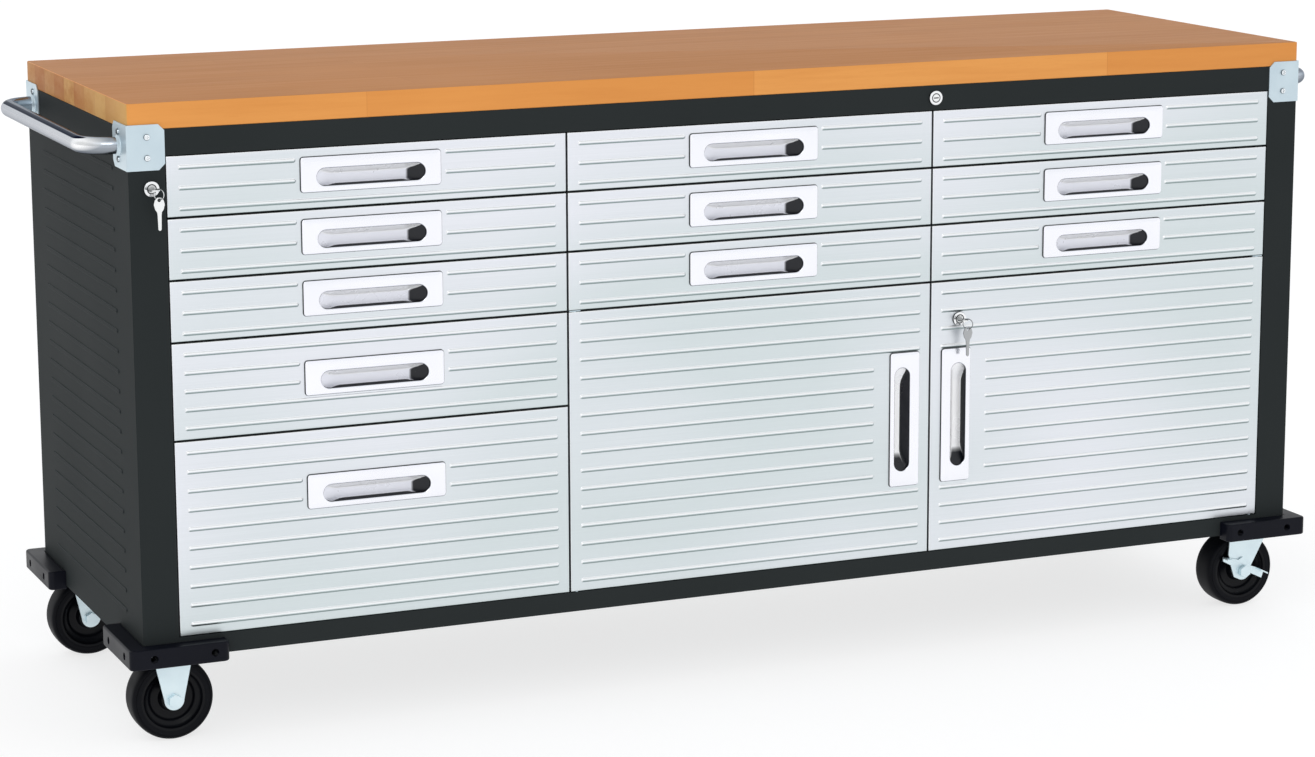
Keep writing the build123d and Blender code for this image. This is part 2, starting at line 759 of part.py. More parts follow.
def make_drawer_box(height, slide_z):
    """Open box of five spot-welded sheets, with an inner slide rail on each side.

    x is from its middle, and z from the middle of the front.
    """
    half = column_width / 2 - column_wall - slide_space
    bottom = -height / 2 + drawer_floor_gap
    top = height / 2 - drawer_top_gap
    y0, y1 = front_back, front_back + drawer_depth
    wall = drawer_sheet
    inner = half - wall
    pieces = [
        block(-half, half, y0, y1, bottom, bottom + wall),
        block(-inner, inner, y0, y0 + wall, bottom + wall, top),
        block(-inner, inner, y1 - wall, y1, bottom + wall, top),
        block(-half, -inner, y0, y1, bottom + wall, top),
        block(inner, half, y0, y1, bottom + wall, top),
    ]
    for side in (-1, 1):
        web = block(side * half, side * (half + sheet), carcass_front + 2, carcass_front + 2 + slide_length,
                    slide_z - 18, slide_z + 18)
        rail = web
        for rise in (-1, 1):
            rail += block(side * (half + sheet), side * (half + slide_space - 3), carcass_front + 2,
                          carcass_front + 2 + slide_length, slide_z + rise * 18, slide_z + rise * 16.5)
        pieces.append(rail)
    return pieces


def make_channel(wall_x, step, z):
    """Outer slide member: a channel on the wall that opens towards the drawer."""
    y0, y1 = carcass_front + 2, carcass_front + 2 + slide_length
    half = slide_height / 2
    channel = block(wall_x, wall_x + step * sheet, y0, y1, z - half, z + half)
    for rise in (-1, 1):
        channel += block(wall_x, wall_x + step * 10.5, y0, y1, z + rise * half, z + rise * (half - sheet))
    return channel


def drawer_rows():
    """Every drawer: its name, its column, and its front's bottom and top."""
    rows = []
    for column, side in enumerate(("left", "middle", "right")):
        heights = left_row_heights if column == 0 else left_row_heights[:small_rows]
        top = opening_top
        for number, row in enumerate(heights, 1):
            rows.append((f"{side}_drawer_{number}", column, top - row, top))
            top -= row
    return rows


def make_drawers():
    """Write every drawer's front and box, and return the fixed channels that they run in."""
    channels = []
    rib_counts = {small_row: 3, left_row_heights[3]: 5, left_row_heights[4]: 10}
    pull_tops = {small_row: pull_top_small, left_row_heights[3]: 40.0, left_row_heights[4]: pull_top_deep}
    made = {}
    for name, column, bottom, top in drawer_rows():
        row = top - bottom
        height = row - front_gap
        slide_z = 0.0 if row < 200 else 40.0
        if row not in made:
            made[row] = (make_drawer_front(height, rib_counts[row], pull_tops[row]),
                         make_drawer_box(height, slide_z))
        panels, boxes = made[row]
        x = column_edges[column] + column_width / 2
        z = (bottom + top) / 2
        save(f"{name}_front", [Pos(x, front, z) * panel for panel in panels])
        save(f"{name}_box", [Pos(x, 0, z) * piece for piece in boxes])
        for step in (-1, 1):
            wall_x = x - step * (column_width / 2 - column_wall)
            channels.append(make_channel(wall_x, step, z + slide_z))
    return channels


# ---------------------------------------------------------------- doors


pin_radius = 3.0
pin_from_edge = 10.0
pin_from_face = 4.5


def door_pivot(side):
    """Hinge axis of a door: side -1 is the left door, hung on its left; side 1 hangs on its right."""
    edge = column_edges[1] + front_gap / 2 if side < 0 else column_edges[3] - front_gap / 2
    return edge - side * pin_from_edge, front + pin_from_face


def make_door(side):
    """Ribbed door with holes for its two pivot pins; the right one has the lock."""
    width = column_width - front_gap
    height = door_top - opening_bottom - front_gap
    free_edge = -side * width / 2
    pull_x = free_edge + side * (door_pull_edge + pull_height / 2)
    pull_z = height / 2 - door_pull_top - pull_length / 2
    reach_z = pull_length / 2 + rib_width / 2
    rib_from = free_edge + side * door_rib_start
    gap_x = (free_edge - 50, rib_from) if side > 0 else (rib_from, free_edge + 50)
    turn = -90 if side > 0 else 90
    centre_x = (column_edges[1] if side < 0 else column_edges[2]) + column_width / 2
    centre_z = (door_top + opening_bottom) / 2
    door = make_front(width, height, 15, (pull_x, pull_z), turn, gap_x, (pull_z - reach_z, pull_z + reach_z))
    place = Pos(centre_x, front, centre_z)
    door = place * door
    pivot_x, pivot_y = door_pivot(side)
    for z in (opening_bottom, door_top):
        door -= Pos(pivot_x, pivot_y, z) * Cylinder(pin_radius + running_gap, 12)
    if side > 0:
        flat = Pos(door_lock[0], front - 3, door_lock[1]) * Rot(90, 0, 0) * Cylinder(bezel_radius + 2, 6)
        door -= flat
        door -= lock_hole(*door_lock)
    pull = place * Pos(pull_x, 0, pull_z) * Rot(0, turn, 0) * pull_shape
    return door, pull


def make_door_hinges():
    """Fixed hinge plates: a pin up through the bottom rail, and a pin down from the bay's ceiling."""
    hinges = []
    for side in (-1, 1):
        x, y = door_pivot(side)
        under = opening_bottom - sheet
        plate = block(x - 9, x + 9, front + sheet, front_back - 0.5, under - 2, under)
        hinges.append(plate + cylinder_from((x, y, under), (0, 0, 1), pin_radius, 12))
        over = block(x - 9, x + 9, front + 1.0, carcass_front + 24, ceiling_top, ceiling_top + sheet)
        hinges.append(over + cylinder_from((x, y, ceiling_top), (0, 0, -1), pin_radius, 9))
    return hinges


# ---------------------------------------------------------------- write every node


place_bracket_screws()
place_bumper_screws()
place_caster_screws()

save("side_panel_left", make_side_panel(-1))
save("side_panel_right", make_side_panel(1))
save("side_liners", make_side_liners())
save("back_panel", make_back_panel())
save("base_pan", make_base_pan())
save("face_frame", make_face_frame())
save("dividers", make_dividers())
save("bay_ceiling", make_bay_ceiling())
save("bay_shelf", make_bay_shelf())
save("top_cross_members", make_top_members())
save("wood_top", make_wood_top())
save("corner_bumpers", make_corner_bumpers())
save("handle_brackets", make_handle_brackets())
save("push_handles", make_push_handles())
save("screws_clips_and_catches",
     [screw(*place) for place in screw_places] + make_shelf_clips() + make_catches())

save("rigid_caster_forks", make_rigid_casters())
save("swivel_caster_plates", make_swivel_plates())
for corner, y in (("front", wheel_y), ("rear", -wheel_y)):
    save(f"swivel_fork_{corner}", make_swivel_fork(y))
    save(f"brake_pedal_{corner}", make_brake_pedal(y))
    for side, x in (("left", rigid_x), ("right", swivel_x - swivel_trail)):
        save(f"wheel_{side}_{corner}", [Pos(x, y, axle_z) * piece for piece in make_wheel()])

save("lock_barrels", [make_lock_barrel(stile_lock), make_lock_barrel(rail_lock)])
save("door_lock_barrel", make_lock_barrel(door_lock))
save("stile_lock_key", make_plug(stile_lock, 18.0, 0) + make_key(stile_lock))
save("rail_lock_plug", make_plug(rail_lock, 14.0, 0))
save("door_lock_key", make_plug(door_lock, 62.0, 0) + make_key(door_lock))
save("stile_spare_key", make_spare_key(stile_lock))
save("door_spare_key", make_spare_key(door_lock))

save("slide_channels", make_drawers())
for side, name in ((-1, "left"), (1, "right")):
    door, pull = make_door(side)
    save(f"door_{name}", door)
    save(f"door_{name}_pull", pull)
save("door_hinges", make_door_hinges())
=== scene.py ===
"""Rolling workbench with drawers: the looks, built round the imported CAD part."""

import json
import math

import bmesh
import bpy
import numpy as np
from mathutils import Matrix, Vector

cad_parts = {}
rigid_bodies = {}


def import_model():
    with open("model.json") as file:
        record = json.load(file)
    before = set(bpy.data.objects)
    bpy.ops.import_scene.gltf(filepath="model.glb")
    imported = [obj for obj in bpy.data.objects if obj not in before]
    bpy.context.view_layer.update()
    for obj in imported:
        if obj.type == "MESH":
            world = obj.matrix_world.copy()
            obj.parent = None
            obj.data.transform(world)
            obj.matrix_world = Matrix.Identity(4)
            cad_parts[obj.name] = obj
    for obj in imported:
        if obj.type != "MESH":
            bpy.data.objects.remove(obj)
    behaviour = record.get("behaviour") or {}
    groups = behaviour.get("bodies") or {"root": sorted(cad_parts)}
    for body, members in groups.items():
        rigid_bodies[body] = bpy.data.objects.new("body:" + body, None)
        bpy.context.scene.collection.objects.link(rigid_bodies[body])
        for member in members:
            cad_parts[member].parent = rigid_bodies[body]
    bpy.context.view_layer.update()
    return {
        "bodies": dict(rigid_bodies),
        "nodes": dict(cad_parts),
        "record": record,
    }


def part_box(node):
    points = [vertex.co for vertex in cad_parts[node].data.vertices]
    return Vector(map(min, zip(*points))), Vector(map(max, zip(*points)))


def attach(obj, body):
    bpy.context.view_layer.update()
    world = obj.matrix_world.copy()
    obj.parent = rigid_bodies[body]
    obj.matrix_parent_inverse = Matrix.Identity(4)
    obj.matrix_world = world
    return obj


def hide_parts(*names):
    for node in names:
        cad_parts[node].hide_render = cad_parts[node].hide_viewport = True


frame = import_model()
MM = 0.001

# Sizes shared with the CAD, in millimetres
FRONT_DEPTH = 18.0
SHEET = 1.2
RIB_WIDTH = 6.5
RIB_HEIGHT = 2.4
RIB_FIRST = 16.5
RIB_MARGIN = 16.5
RIB_PITCH_SMALL = 30.0
RIB_PULL_GAP = 6.5
PULL_LENGTH = 216.0
PULL_HEIGHT = 52.0
PULL_PLATE = 2.5
SLOT_LENGTH = 166.0
SLOT_HEIGHT = 25.0
SLOT_DROP = 4.5
CUP_DEPTH = 13.0
CUP_POCKET = 5.0
SCOOP_DROP = 8.5
SCOOP_STATIONS = (65.0, 60.0, 55.0, 50.0, 45.0, 25.0)
END_FILLET = 37.0
PULL_TOPS = {3: 12.5, 5: 40.0, 10: 66.0}
DOOR_RIBS = 15
DOOR_PULL_TOP = 107.0
DOOR_PULL_EDGE = 18.0
DOOR_RIB_START = 97.0
LOCK_FLAT = 13.5
CAM_HEAD = 7.0

# Sizes of the looks alone, in millimetres
PANEL_EDGE = 1.1
LINE_MERGE = 0.12
PULL_FILLET = 6.5
CUP_CORNER = 13.0
CUP_MARGIN = 1.9
SLOPE_BLEND = 2.0
DOOR_RIB_PAST_EDGE = 50
HANDLE_BEND = 44.0
TYRE_DEPTH = 14.0

# Angles in degrees: edges that are rounded over, and edges that are shaded sharp
HARD_EDGE = 32
SMOOTH_ANGLE = 40
PRESSED_SMOOTH_ANGLE = 50

# Directions a surface can face
UP = (0, 0, 1)
RIGHT = (1, 0, 0)
LEFT = (-1, 0, 0)

# Scene sizes in metres and the camera's angles in degrees
FLOOR_REACH = 60.0
CAMERA_PLACE = (-2.219, -5.095, 1.560)
CAMERA_YAW, CAMERA_PITCH, CAMERA_ROLL = 23.33, 11.05, -0.18


# ---------------------------------------------------------------- shader helpers


class Shader:
    """A material's node tree with short calls for the nodes used here."""

    def __init__(self, name, metallic=0.0, roughness=0.5, **sockets):
        self.material = bpy.data.materials.new(name)
        self.material.use_nodes = True
        self.tree = self.material.node_tree
        self.surface = self.tree.nodes["Principled BSDF"]
        self.surface.inputs["Metallic"].default_value = metallic
        self.surface.inputs["Roughness"].default_value = roughness
        for socket, value in sockets.items():
            self.surface.inputs[socket.replace("_", " ")].default_value = value
        self.object_coords = self.tree.nodes.new("ShaderNodeTexCoord").outputs["Object"]

    def link(self, source, target):
        self.tree.links.new(source, target)

    def stretched(self, scale):
        node = self.tree.nodes.new("ShaderNodeMapping")
        node.inputs["Scale"].default_value = scale
        self.link(self.object_coords, node.inputs["Vector"])
        return node.outputs["Vector"]

    def noise(self, scale, stretch=(1, 1, 1), detail=3.0, roughness=0.5):
        node = self.tree.nodes.new("ShaderNodeTexNoise")
        node.inputs["Scale"].default_value = scale
        node.inputs["Detail"].default_value = detail
        node.inputs["Roughness"].default_value = roughness
        self.link(self.stretched(stretch), node.inputs["Vector"])
        return node.outputs["Fac"]

    def remap(self, value, low, high, to_low, to_high):
        node = self.tree.nodes.new("ShaderNodeMapRange")
        self.link(value, node.inputs["Value"])
        for socket, number in zip(("From Min", "From Max", "To Min", "To Max"), (low, high, to_low, to_high)):
            node.inputs[socket].default_value = number
        return node.outputs["Result"]

    def mix(self, factor, first, second):
        node = self.tree.nodes.new("ShaderNodeMix")
        node.data_type = "RGBA"
        for index, value in ((0, factor), (6, first), (7, second)):
            if isinstance(value, bpy.types.NodeSocket):
                self.link(value, node.inputs[index])
            elif index == 0:
                node.inputs[index].default_value = value
            else:
                node.inputs[index].default_value = (*value, 1.0)
        return node.outputs[2]

    def bump(self, height, strength, distance):
        node = self.tree.nodes.new("ShaderNodeBump")
        node.inputs["Strength"].default_value = strength
        node.inputs["Distance"].default_value = distance
        self.link(height, node.inputs["Height"])
        return node.outputs["Normal"]

    def facing(self, direction, low, high, amount=1.0):
        """How far the surface turns to a direction, eased from 0 at low to an amount at high."""
        dot = self.tree.nodes.new("ShaderNodeVectorMath")
        dot.operation = "DOT_PRODUCT"
        self.link(self.tree.nodes.new("ShaderNodeNewGeometry").outputs["Normal"], dot.inputs[0])
        dot.inputs[1].default_value = direction
        return self.remap(dot.outputs["Value"], low, high, 0.0, amount)

    def finish(self, colour=None, roughness=None, normal=None):
        for value, socket in ((colour, "Base Color"), (roughness, "Roughness"), (normal, "Normal")):
            if value is not None:
                self.link(value, self.surface.inputs[socket])
        return self.material


def mottled(name, first, second, scale, rough, grain, depth, metallic=0.0, stretch=(1, 1, 1), painted_slope_light=None,
            **sockets):
    """Colour that drifts between two shades, roughness that drifts with it, and a fine surface grain; a
    lighter colour, if given, is painted on surfaces turned up or down as painted light that evens out their
    shade.
    """
    s = Shader(name, metallic, **sockets)
    drift = s.noise(scale, stretch)
    fine = s.noise(grain, stretch, detail=2.0)
    colour = s.mix(s.remap(drift, 0.3, 0.7, 0.0, 1.0), first, second)
    # Painted light: surfaces turned up or down are lightened towards the given colour.
    if painted_slope_light is not None:
        for up in (-1, 1):
            colour = s.mix(s.facing((0, 0, up), 0.10, 0.45), colour, painted_slope_light)
    roughness = s.remap(drift, 0.3, 0.7, rough[0], rough[1])
    return s.finish(colour, roughness, s.bump(fine, 0.35, depth))


def brushed_steel(name, first, second, rough):
    """Stainless sheet: a cloudy drift between two tones, random tone that also stands in for reflections as
    painted reflection, shifted lighter towards the top and left as painted light; fine brushing along X;
    painted highlight where it turns up or to the left and painted shade where it turns down or to the right.
    """
    s = Shader(name, 1.0)
    split = s.tree.nodes.new("ShaderNodeSeparateXYZ")
    s.link(s.tree.nodes.new("ShaderNodeTexCoord").outputs["Generated"], split.inputs[0])
    painted_reflection_cloud = s.noise(1.5, (1.0, 1.0, 1.6), detail=1.0)
    # Painted light: the drift is shifted lighter towards the top and the left of each piece.
    for output, low, high in (("Z", -0.10, 0.10), ("X", 0.05, -0.05)):
        shift = s.tree.nodes.new("ShaderNodeMath")
        s.link(painted_reflection_cloud, shift.inputs[0])
        s.link(s.remap(split.outputs[output], 0.0, 1.0, low, high), shift.inputs[1])
        painted_reflection_cloud = shift.outputs[0]
    brushing = s.noise(60.0, (0.05, 1.0, 14.0), detail=4.0, roughness=0.7)
    tone = s.mix(s.remap(painted_reflection_cloud, 0.34, 0.66, 1.0, 0.0), first, second)
    streaks = s.mix(s.remap(brushing, 0.3, 0.7, 0.0, 0.12), tone, (0.50, 0.55, 0.56))
    # Painted shade where the sheet turns down or to the right, painted highlight where it turns up or to the
    # left.
    shaded = s.mix(s.facing(UP, -0.10, -0.55), streaks, (0.30, 0.37, 0.37))
    shaded = s.mix(s.facing(RIGHT, 0.20, 0.70, 0.6), shaded, (0.40, 0.45, 0.46))
    lit = s.mix(s.facing(UP, 0.08, 0.36, 1.0), shaded, (0.99, 0.995, 1.0))
    lit = s.mix(s.facing(LEFT, 0.20, 0.60, 0.8), lit, (0.97, 0.98, 0.99))
    roughness = s.remap(brushing, 0.3, 0.7, rough[0], rough[1])
    return s.finish(lit, roughness, s.bump(brushing, 0.12, 0.00002))


def polished(name, light, grey, painted_dark, rough, grain, depth):
    """Bright plating with painted reflection: darker where it turns up or to the left, greyer where it turns
    down.
    """
    s = Shader(name, 1.0)
    drift = s.noise(7.0)
    fine = s.noise(grain, detail=2.0)
    tone = s.mix(s.remap(drift, 0.3, 0.7, 0.0, 1.0), light, tuple(c * 0.96 for c in light))
    # Painted reflection: greyer where the surface turns down, near-black where it turns up or to the left.
    tone = s.mix(s.facing(UP, -0.25, -0.65), tone, grey)
    tone = s.mix(s.facing(UP, 0.42, 0.70), tone, painted_dark)
    tone = s.mix(s.facing(LEFT, 0.38, 0.62), tone, painted_dark)
    roughness = s.remap(drift, 0.3, 0.7, rough[0], rough[1])
    return s.finish(tone, roughness, s.bump(fine, 0.3, depth))


def satin_cup(name, light, grey, painted_dark):
    """Inside of a pull's cup: satin plating with painted shade that goes near-black where it turns up or to
    the left, and a second tone where it turns down, which on the drawer pulls is lighter, painted light.
    """
    s = Shader(name, 0.20)
    # Painted light on faces turned down; painted shade, near-black, on the lower wall and pocket that turn up
    # and on the end that turns left.
    tone = s.mix(s.facing(UP, -0.05, -0.32), light, grey)
    tone = s.mix(s.facing(UP, 0.16, 0.34), tone, painted_dark)
    tone = s.mix(s.facing(LEFT, 0.21, 0.30), tone, painted_dark)
    drift = s.noise(30.0)
    return s.finish(tone, s.remap(drift, 0.3, 0.7, 0.26, 0.34), s.bump(s.noise(600.0), 0.2, 0.000002))


def banded_tube(name, bands, stripe, glint, rough):
    """Polished tube with painted reflection: tone bands round it, a black stripe and a white glint, painted
    highlight, along the runs that face left.
    """
    s = Shader(name, 1.0, Specular_Tint=(0.44, 0.46, 0.50, 1.0))
    ramp = s.tree.nodes.new("ShaderNodeValToRGB")
    ramp.color_ramp.interpolation = "EASE"
    elements = ramp.color_ramp.elements
    while len(elements) < len(bands):
        elements.new(0.5)
    for element, (place, grey) in zip(elements, bands):
        element.position = place
        element.color = (grey * 0.88, grey * 0.96, grey * 1.06, 1.0)
    # Painted reflection: the ramp's tones follow how far the tube turns up.
    s.link(s.facing(UP, -1.0, 1.0), ramp.inputs["Fac"])
    tone = ramp.outputs["Color"]
    # A painted black reflection stripe and a painted white glint, set by facing.
    for direction, low, high, colour in (glint, stripe):
        tone = s.mix(s.facing(direction, low, high), tone, colour)
    drift = s.noise(9.0)
    return s.finish(tone, s.remap(drift, 0.3, 0.7, rough[0], rough[1]),
                    s.bump(s.noise(400.0, detail=2.0), 0.3, 0.000006))


def staves(s, axes, length, width, first, second, seam):
    """Glued staves: bricks laid along two of the object's own axes."""
    split = s.tree.nodes.new("ShaderNodeSeparateXYZ")
    s.link(s.object_coords, split.inputs[0])
    join = s.tree.nodes.new("ShaderNodeCombineXYZ")
    for place, axis in enumerate(axes):
        s.link(split.outputs[axis], join.inputs[place])
    brick = s.tree.nodes.new("ShaderNodeTexBrick")
    s.link(join.outputs[0], brick.inputs["Vector"])
    brick.offset = 0.37
    brick.offset_frequency = 3
    for socket, colour in (("Color1", first), ("Color2", second), ("Mortar", seam)):
        brick.inputs[socket].default_value = (*colour, 1.0)
    for socket, value in (("Scale", 1.0), ("Mortar Size", 0.0004), ("Mortar Smooth", 0.4),
                          ("Bias", 0.0), ("Brick Width", length), ("Row Height", width)):
        brick.inputs[socket].default_value = value
    return brick.outputs["Color"]


def wood(name, axes, length, width, first, second, seam, grain_colour, stretch, amount, rough, sheen,
         paler=None):
    """Oiled hardwood: stave colours, figure drawn along the grain, and pores."""
    s = Shader(name, 0.0, Specular_IOR_Level=sheen)
    base = staves(s, axes, length, width, first, second, seam)
    figure = s.noise(7.0, stretch, detail=6.0, roughness=0.6)
    pores = s.noise(90.0, stretch, detail=3.0, roughness=0.6)
    drift = s.noise(1.6, (1, 1, 1), detail=2.0)
    shaded = s.mix(s.remap(figure, 0.42, 0.75, 0.0, amount), base, grain_colour)
    shaded = s.mix(s.remap(pores, 0.55, 0.8, 0.0, amount * 0.6), shaded, grain_colour)
    light = tuple(min(1.0, c * 1.18) for c in first)
    shaded = s.mix(s.remap(drift, 0.45, 0.75, 0.0, 0.45), shaded, light)
    if paler is not None:
        split = s.tree.nodes.new("ShaderNodeSeparateXYZ")
        s.link(s.object_coords, split.inputs[0])
        shaded = s.mix(s.remap(split.outputs["Y"], -0.31, -0.02, 0.75, 0.0), shaded, paler)
    roughness = s.remap(figure, 0.3, 0.7, rough[0], rough[1])
    return s.finish(shaded, roughness, s.bump(pores, 0.15, 0.00008))


# The charcoal paint is lightened on surfaces turned up or down, painted light meant to even out the shade on
# the pressed ribs.
PAINT = mottled("charcoal_powder_coat", (0.0210, 0.0250, 0.0257), (0.0240, 0.0282, 0.0290), 3.0, (0.58, 0.66),
                1500.0, 0.00012, painted_slope_light=(0.046, 0.053, 0.055), Specular_IOR_Level=0.05)
DRAWER_PAINT = mottled("drawer_paint", (0.030, 0.034, 0.036), (0.036, 0.041, 0.044), 4.0, (0.38, 0.46), 900.0,
                       0.00005, Specular_IOR_Level=0.35)
# Satin stainless: its two tones stand partly for reflections, painted reflection, and its ribs carry painted
# light and shade.
STEEL = brushed_steel("satin_stainless", (0.81, 0.825, 0.875), (0.665, 0.727, 0.742), (0.34, 0.42))
# Pull chrome: its grey and near-black tones are painted reflection, which also draws the plates' edge
# outlines on the left and top.
CHROME = polished("polished_pull_chrome", (0.93, 0.935, 0.985), (0.60, 0.625, 0.71), (0.018, 0.020, 0.028),
                  (0.16, 0.22), 300.0, 0.000004)
# The handle's tone bands, black stripe and white glint are painted reflection and painted highlight.
HANDLE_CHROME = banded_tube("polished_tube_chrome", ((0.0, 0.10), (0.10, 0.24), (0.35, 0.34), (0.55, 0.44),
                                                     (0.70, 0.62), (0.86, 0.42), (1.0, 0.34)),
                            ((-0.50, 0.0, 0.866), 0.950, 0.966, (0.004, 0.005, 0.012)),
                            ((-0.94, 0.0, 0.342), 0.40, 0.80, (1.0, 1.0, 1.0)), (0.14, 0.22))
# Lock, key and nickel metals get the same painted reflection by facing: near-black turned up or left, greyer
# turned down.
LOCK_CHROME = polished("lock_chrome", (0.90, 0.91, 0.92), (0.40, 0.42, 0.44), (0.05, 0.055, 0.06),
                       (0.12, 0.22), 900.0, 0.00001)
NICKEL = polished("nickel_painted_reflection", (0.88, 0.89, 0.89), (0.45, 0.46, 0.46), (0.14, 0.15, 0.15),
                  (0.18, 0.32), 1200.0, 0.00003)
KEY_STEEL = polished("dull_key_steel", (0.42, 0.43, 0.44), (0.20, 0.21, 0.22), (0.10, 0.10, 0.11),
                     (0.30, 0.42), 1200.0, 0.00003)
# Near-black for the painted shade round the locks' plugs and in the keyway.
SHADOW_GAP = mottled("lock_painted_shade", (0.006, 0.007, 0.009), (0.010, 0.011, 0.013), 60.0, (0.45, 0.55),
                     900.0, 0.00002, Specular_IOR_Level=0.2)
ZINC = mottled("blue_white_zinc", (0.60, 0.705, 0.76), (0.55, 0.655, 0.715), 22.0, (0.34, 0.46), 700.0,
               0.00004, metallic=0.85)
FORK_ZINC = mottled("bright_fork_zinc", (0.74, 0.86, 0.90), (0.67, 0.79, 0.84), 22.0, (0.32, 0.44),
                    700.0, 0.00004, metallic=0.85)
SLIDE_ZINC = mottled("slide_zinc", (0.60, 0.62, 0.63), (0.50, 0.52, 0.54), 14.0, (0.30, 0.45), 600.0,
                     0.00004, metallic=0.9)
PLASTIC = mottled("moulded_black_plastic", (0.0030, 0.0036, 0.0075), (0.0045, 0.0052, 0.0100), 8.0,
                  (0.34, 0.46), 1100.0, 0.00008, Specular_IOR_Level=0.12)
RUBBER = mottled("tyre_rubber", (0.0018, 0.0021, 0.0038), (0.0036, 0.0042, 0.0062), 18.0, (0.46, 0.60),
                 900.0, 0.00010, Specular_IOR_Level=0.10)
WHEEL_CORE = mottled("wheel_core", (0.0016, 0.0018, 0.0030), (0.0030, 0.0034, 0.0050), 14.0, (0.26, 0.38),
                     700.0, 0.00006, Specular_IOR_Level=0.15)
# Both cups: lighter tones are painted light against the cavity's shade, and the near-black is painted shade
# in the pocket and at the right-hand end.
CUP = satin_cup("satin_pull_cup", (0.83, 0.84, 0.91), (0.97, 0.975, 1.0), (0.004, 0.005, 0.009))
DOOR_CUP = satin_cup("door_cup_painted_light_and_shade", (0.99, 0.99, 1.0), (0.97, 0.975, 1.0), (0.004, 0.005, 0.009))
# Screws: painted reflection by facing, as for the other polished metals.
SCREW = polished("zinc_screw", (0.86, 0.90, 0.93), (0.20, 0.23, 0.25), (0.16, 0.19, 0.21),
                 (0.18, 0.30), 900.0, 0.00001)
# Grey rim round each pull plate's foot: painted shade at the plate's edges.
PULL_EDGE_SHADE = mottled("pull_edge_painted_shade", (0.130, 0.138, 0.145), (0.170, 0.178, 0.186), 40.0, (0.50, 0.60), 900.0,
                 0.00005, Specular_IOR_Level=0.2)
WOOD_FACE = wood("wood_face", (0, 1, 2), 0.52, 0.046, (0.515, 0.238, 0.098), (0.490, 0.222, 0.089),
                 (0.44, 0.19, 0.075), (0.40, 0.165, 0.062), (0.5, 9.0, 9.0), 0.28, (0.50, 0.62), 0.04)
WOOD_EDGE = wood("wood_edge", (0, 2, 1), 0.62, 0.08, (0.76, 0.330, 0.086), (0.68, 0.265, 0.060),
                 (0.55, 0.20, 0.045), (0.60, 0.215, 0.045), (0.5, 9.0, 9.0), 0.42, (0.32, 0.45), 0.14)
WOOD_END = wood("wood_end", (1, 2, 0), 0.062, 0.08, (0.60, 0.33, 0.10), (0.42, 0.135, 0.028),
                (0.30, 0.09, 0.018), (0.36, 0.10, 0.018), (3.0, 3.0, 6.0), 0.60, (0.42, 0.55), 0.08,
                paler=(0.66, 0.40, 0.135))


# ---------------------------------------------------------------- mesh helpers


def smooth_by_angle(mesh, degrees):
    mesh.shade_smooth()
    mesh.set_sharp_from_angle(angle=math.radians(degrees))


def piece(name, verts, faces, body, materials, replaces=(), degrees=35, face_slots=None):
    """A new visible piece in metres, riding on a CAD body."""
    mesh = bpy.data.meshes.new(name)
    mesh.from_pydata([tuple(v) for v in verts], [], [tuple(f) for f in faces])
    for material in materials:
        mesh.materials.append(material)
    if face_slots is not None:
        mesh.polygons.foreach_set("material_index", face_slots)
    bm = bmesh.new()
    bm.from_mesh(mesh)
    bmesh.ops.remove_doubles(bm, verts=bm.verts, dist=1e-6)
    bmesh.ops.dissolve_degenerate(bm, edges=bm.edges, dist=1e-7)
    bm.to_mesh(mesh)
    bm.free()
    smooth_by_angle(mesh, degrees)
    obj = bpy.data.objects.new(name, mesh)
    bpy.context.scene.collection.objects.link(obj)
    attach(obj, body)
    if replaces:
        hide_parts(*replaces)
    return obj


class Builder:
    """Collects vertices and faces of one mesh, in millimetres."""

    def __init__(self):
        self.verts = []
        self.faces = []
        self.face_slots = []

    def loop(self, points):
        start = len(self.verts)
        self.verts += [tuple(p) for p in points]
        return list(range(start, start + len(points)))

    def bridge(self, a, b):
        """Quads between two closed loops of the same length."""
        n = len(a)
        for i in range(n):
            j = (i + 1) % n
            self.faces.append((a[i], a[j], b[j], b[i]))

    def skin(self, rings, closed=False):
        loops = [self.loop(ring) for ring in rings]
        for a, b in zip(loops, loops[1:]):
            self.bridge(a, b)
        if closed:
            self.bridge(loops[-1], loops[0])
        return loops

    def cap(self, loop, flip=False):
        self.faces.append(tuple(reversed(loop)) if flip else tuple(loop))

    def placed(self, transform):
        return [transform @ Vector(v) * MM for v in self.verts]


def rounded_loop(half_u, half_v, radius, steps=8, centre_v=0.0):
    """Rounded rectangle about (0, centre_v), counter-clockwise from its right side."""
    radius = min(radius, half_u, half_v)
    points = []
    corners = ((1, 1, 0), (-1, 1, 90), (-1, -1, 180), (1, -1, 270))
    for side_u, side_v, start in corners:
        for i in range(steps + 1):
            angle = math.radians(start + 90 * i / steps)
            u = side_u * (half_u - radius) + radius * math.cos(angle)
            v = side_v * (half_v - radius) + radius * math.sin(angle)
            points.append((u, v + centre_v))
    return points


def lathe(builder, profile, centre, steps=96):
    """Turn a closed profile of (radius, y) about the Y axis through a centre."""
    rings = []
    for i in range(steps):
        angle = 2 * math.pi * i / steps
        c, s = math.cos(angle), math.sin(angle)
        rings.append([(centre[0] + r * c, centre[1] + y, centre[2] + r * s) for r, y in profile])
    loops = [builder.loop(ring) for ring in rings]
    for k in range(steps):
        a, b = loops[k], loops[(k + 1) % steps]
        for i in range(len(profile)):
            j = (i + 1) % len(profile)
            builder.faces.append((a[i], b[i], b[j], a[j]))


def arc(centre, radius, start, end, steps):
    """Points of a flat arc, angles in degrees."""
    result = []
    for i in range(steps + 1):
        angle = math.radians(start + (end - start) * i / steps)
        result.append((centre[0] + radius * math.cos(angle), centre[1] + radius * math.sin(angle)))
    return result


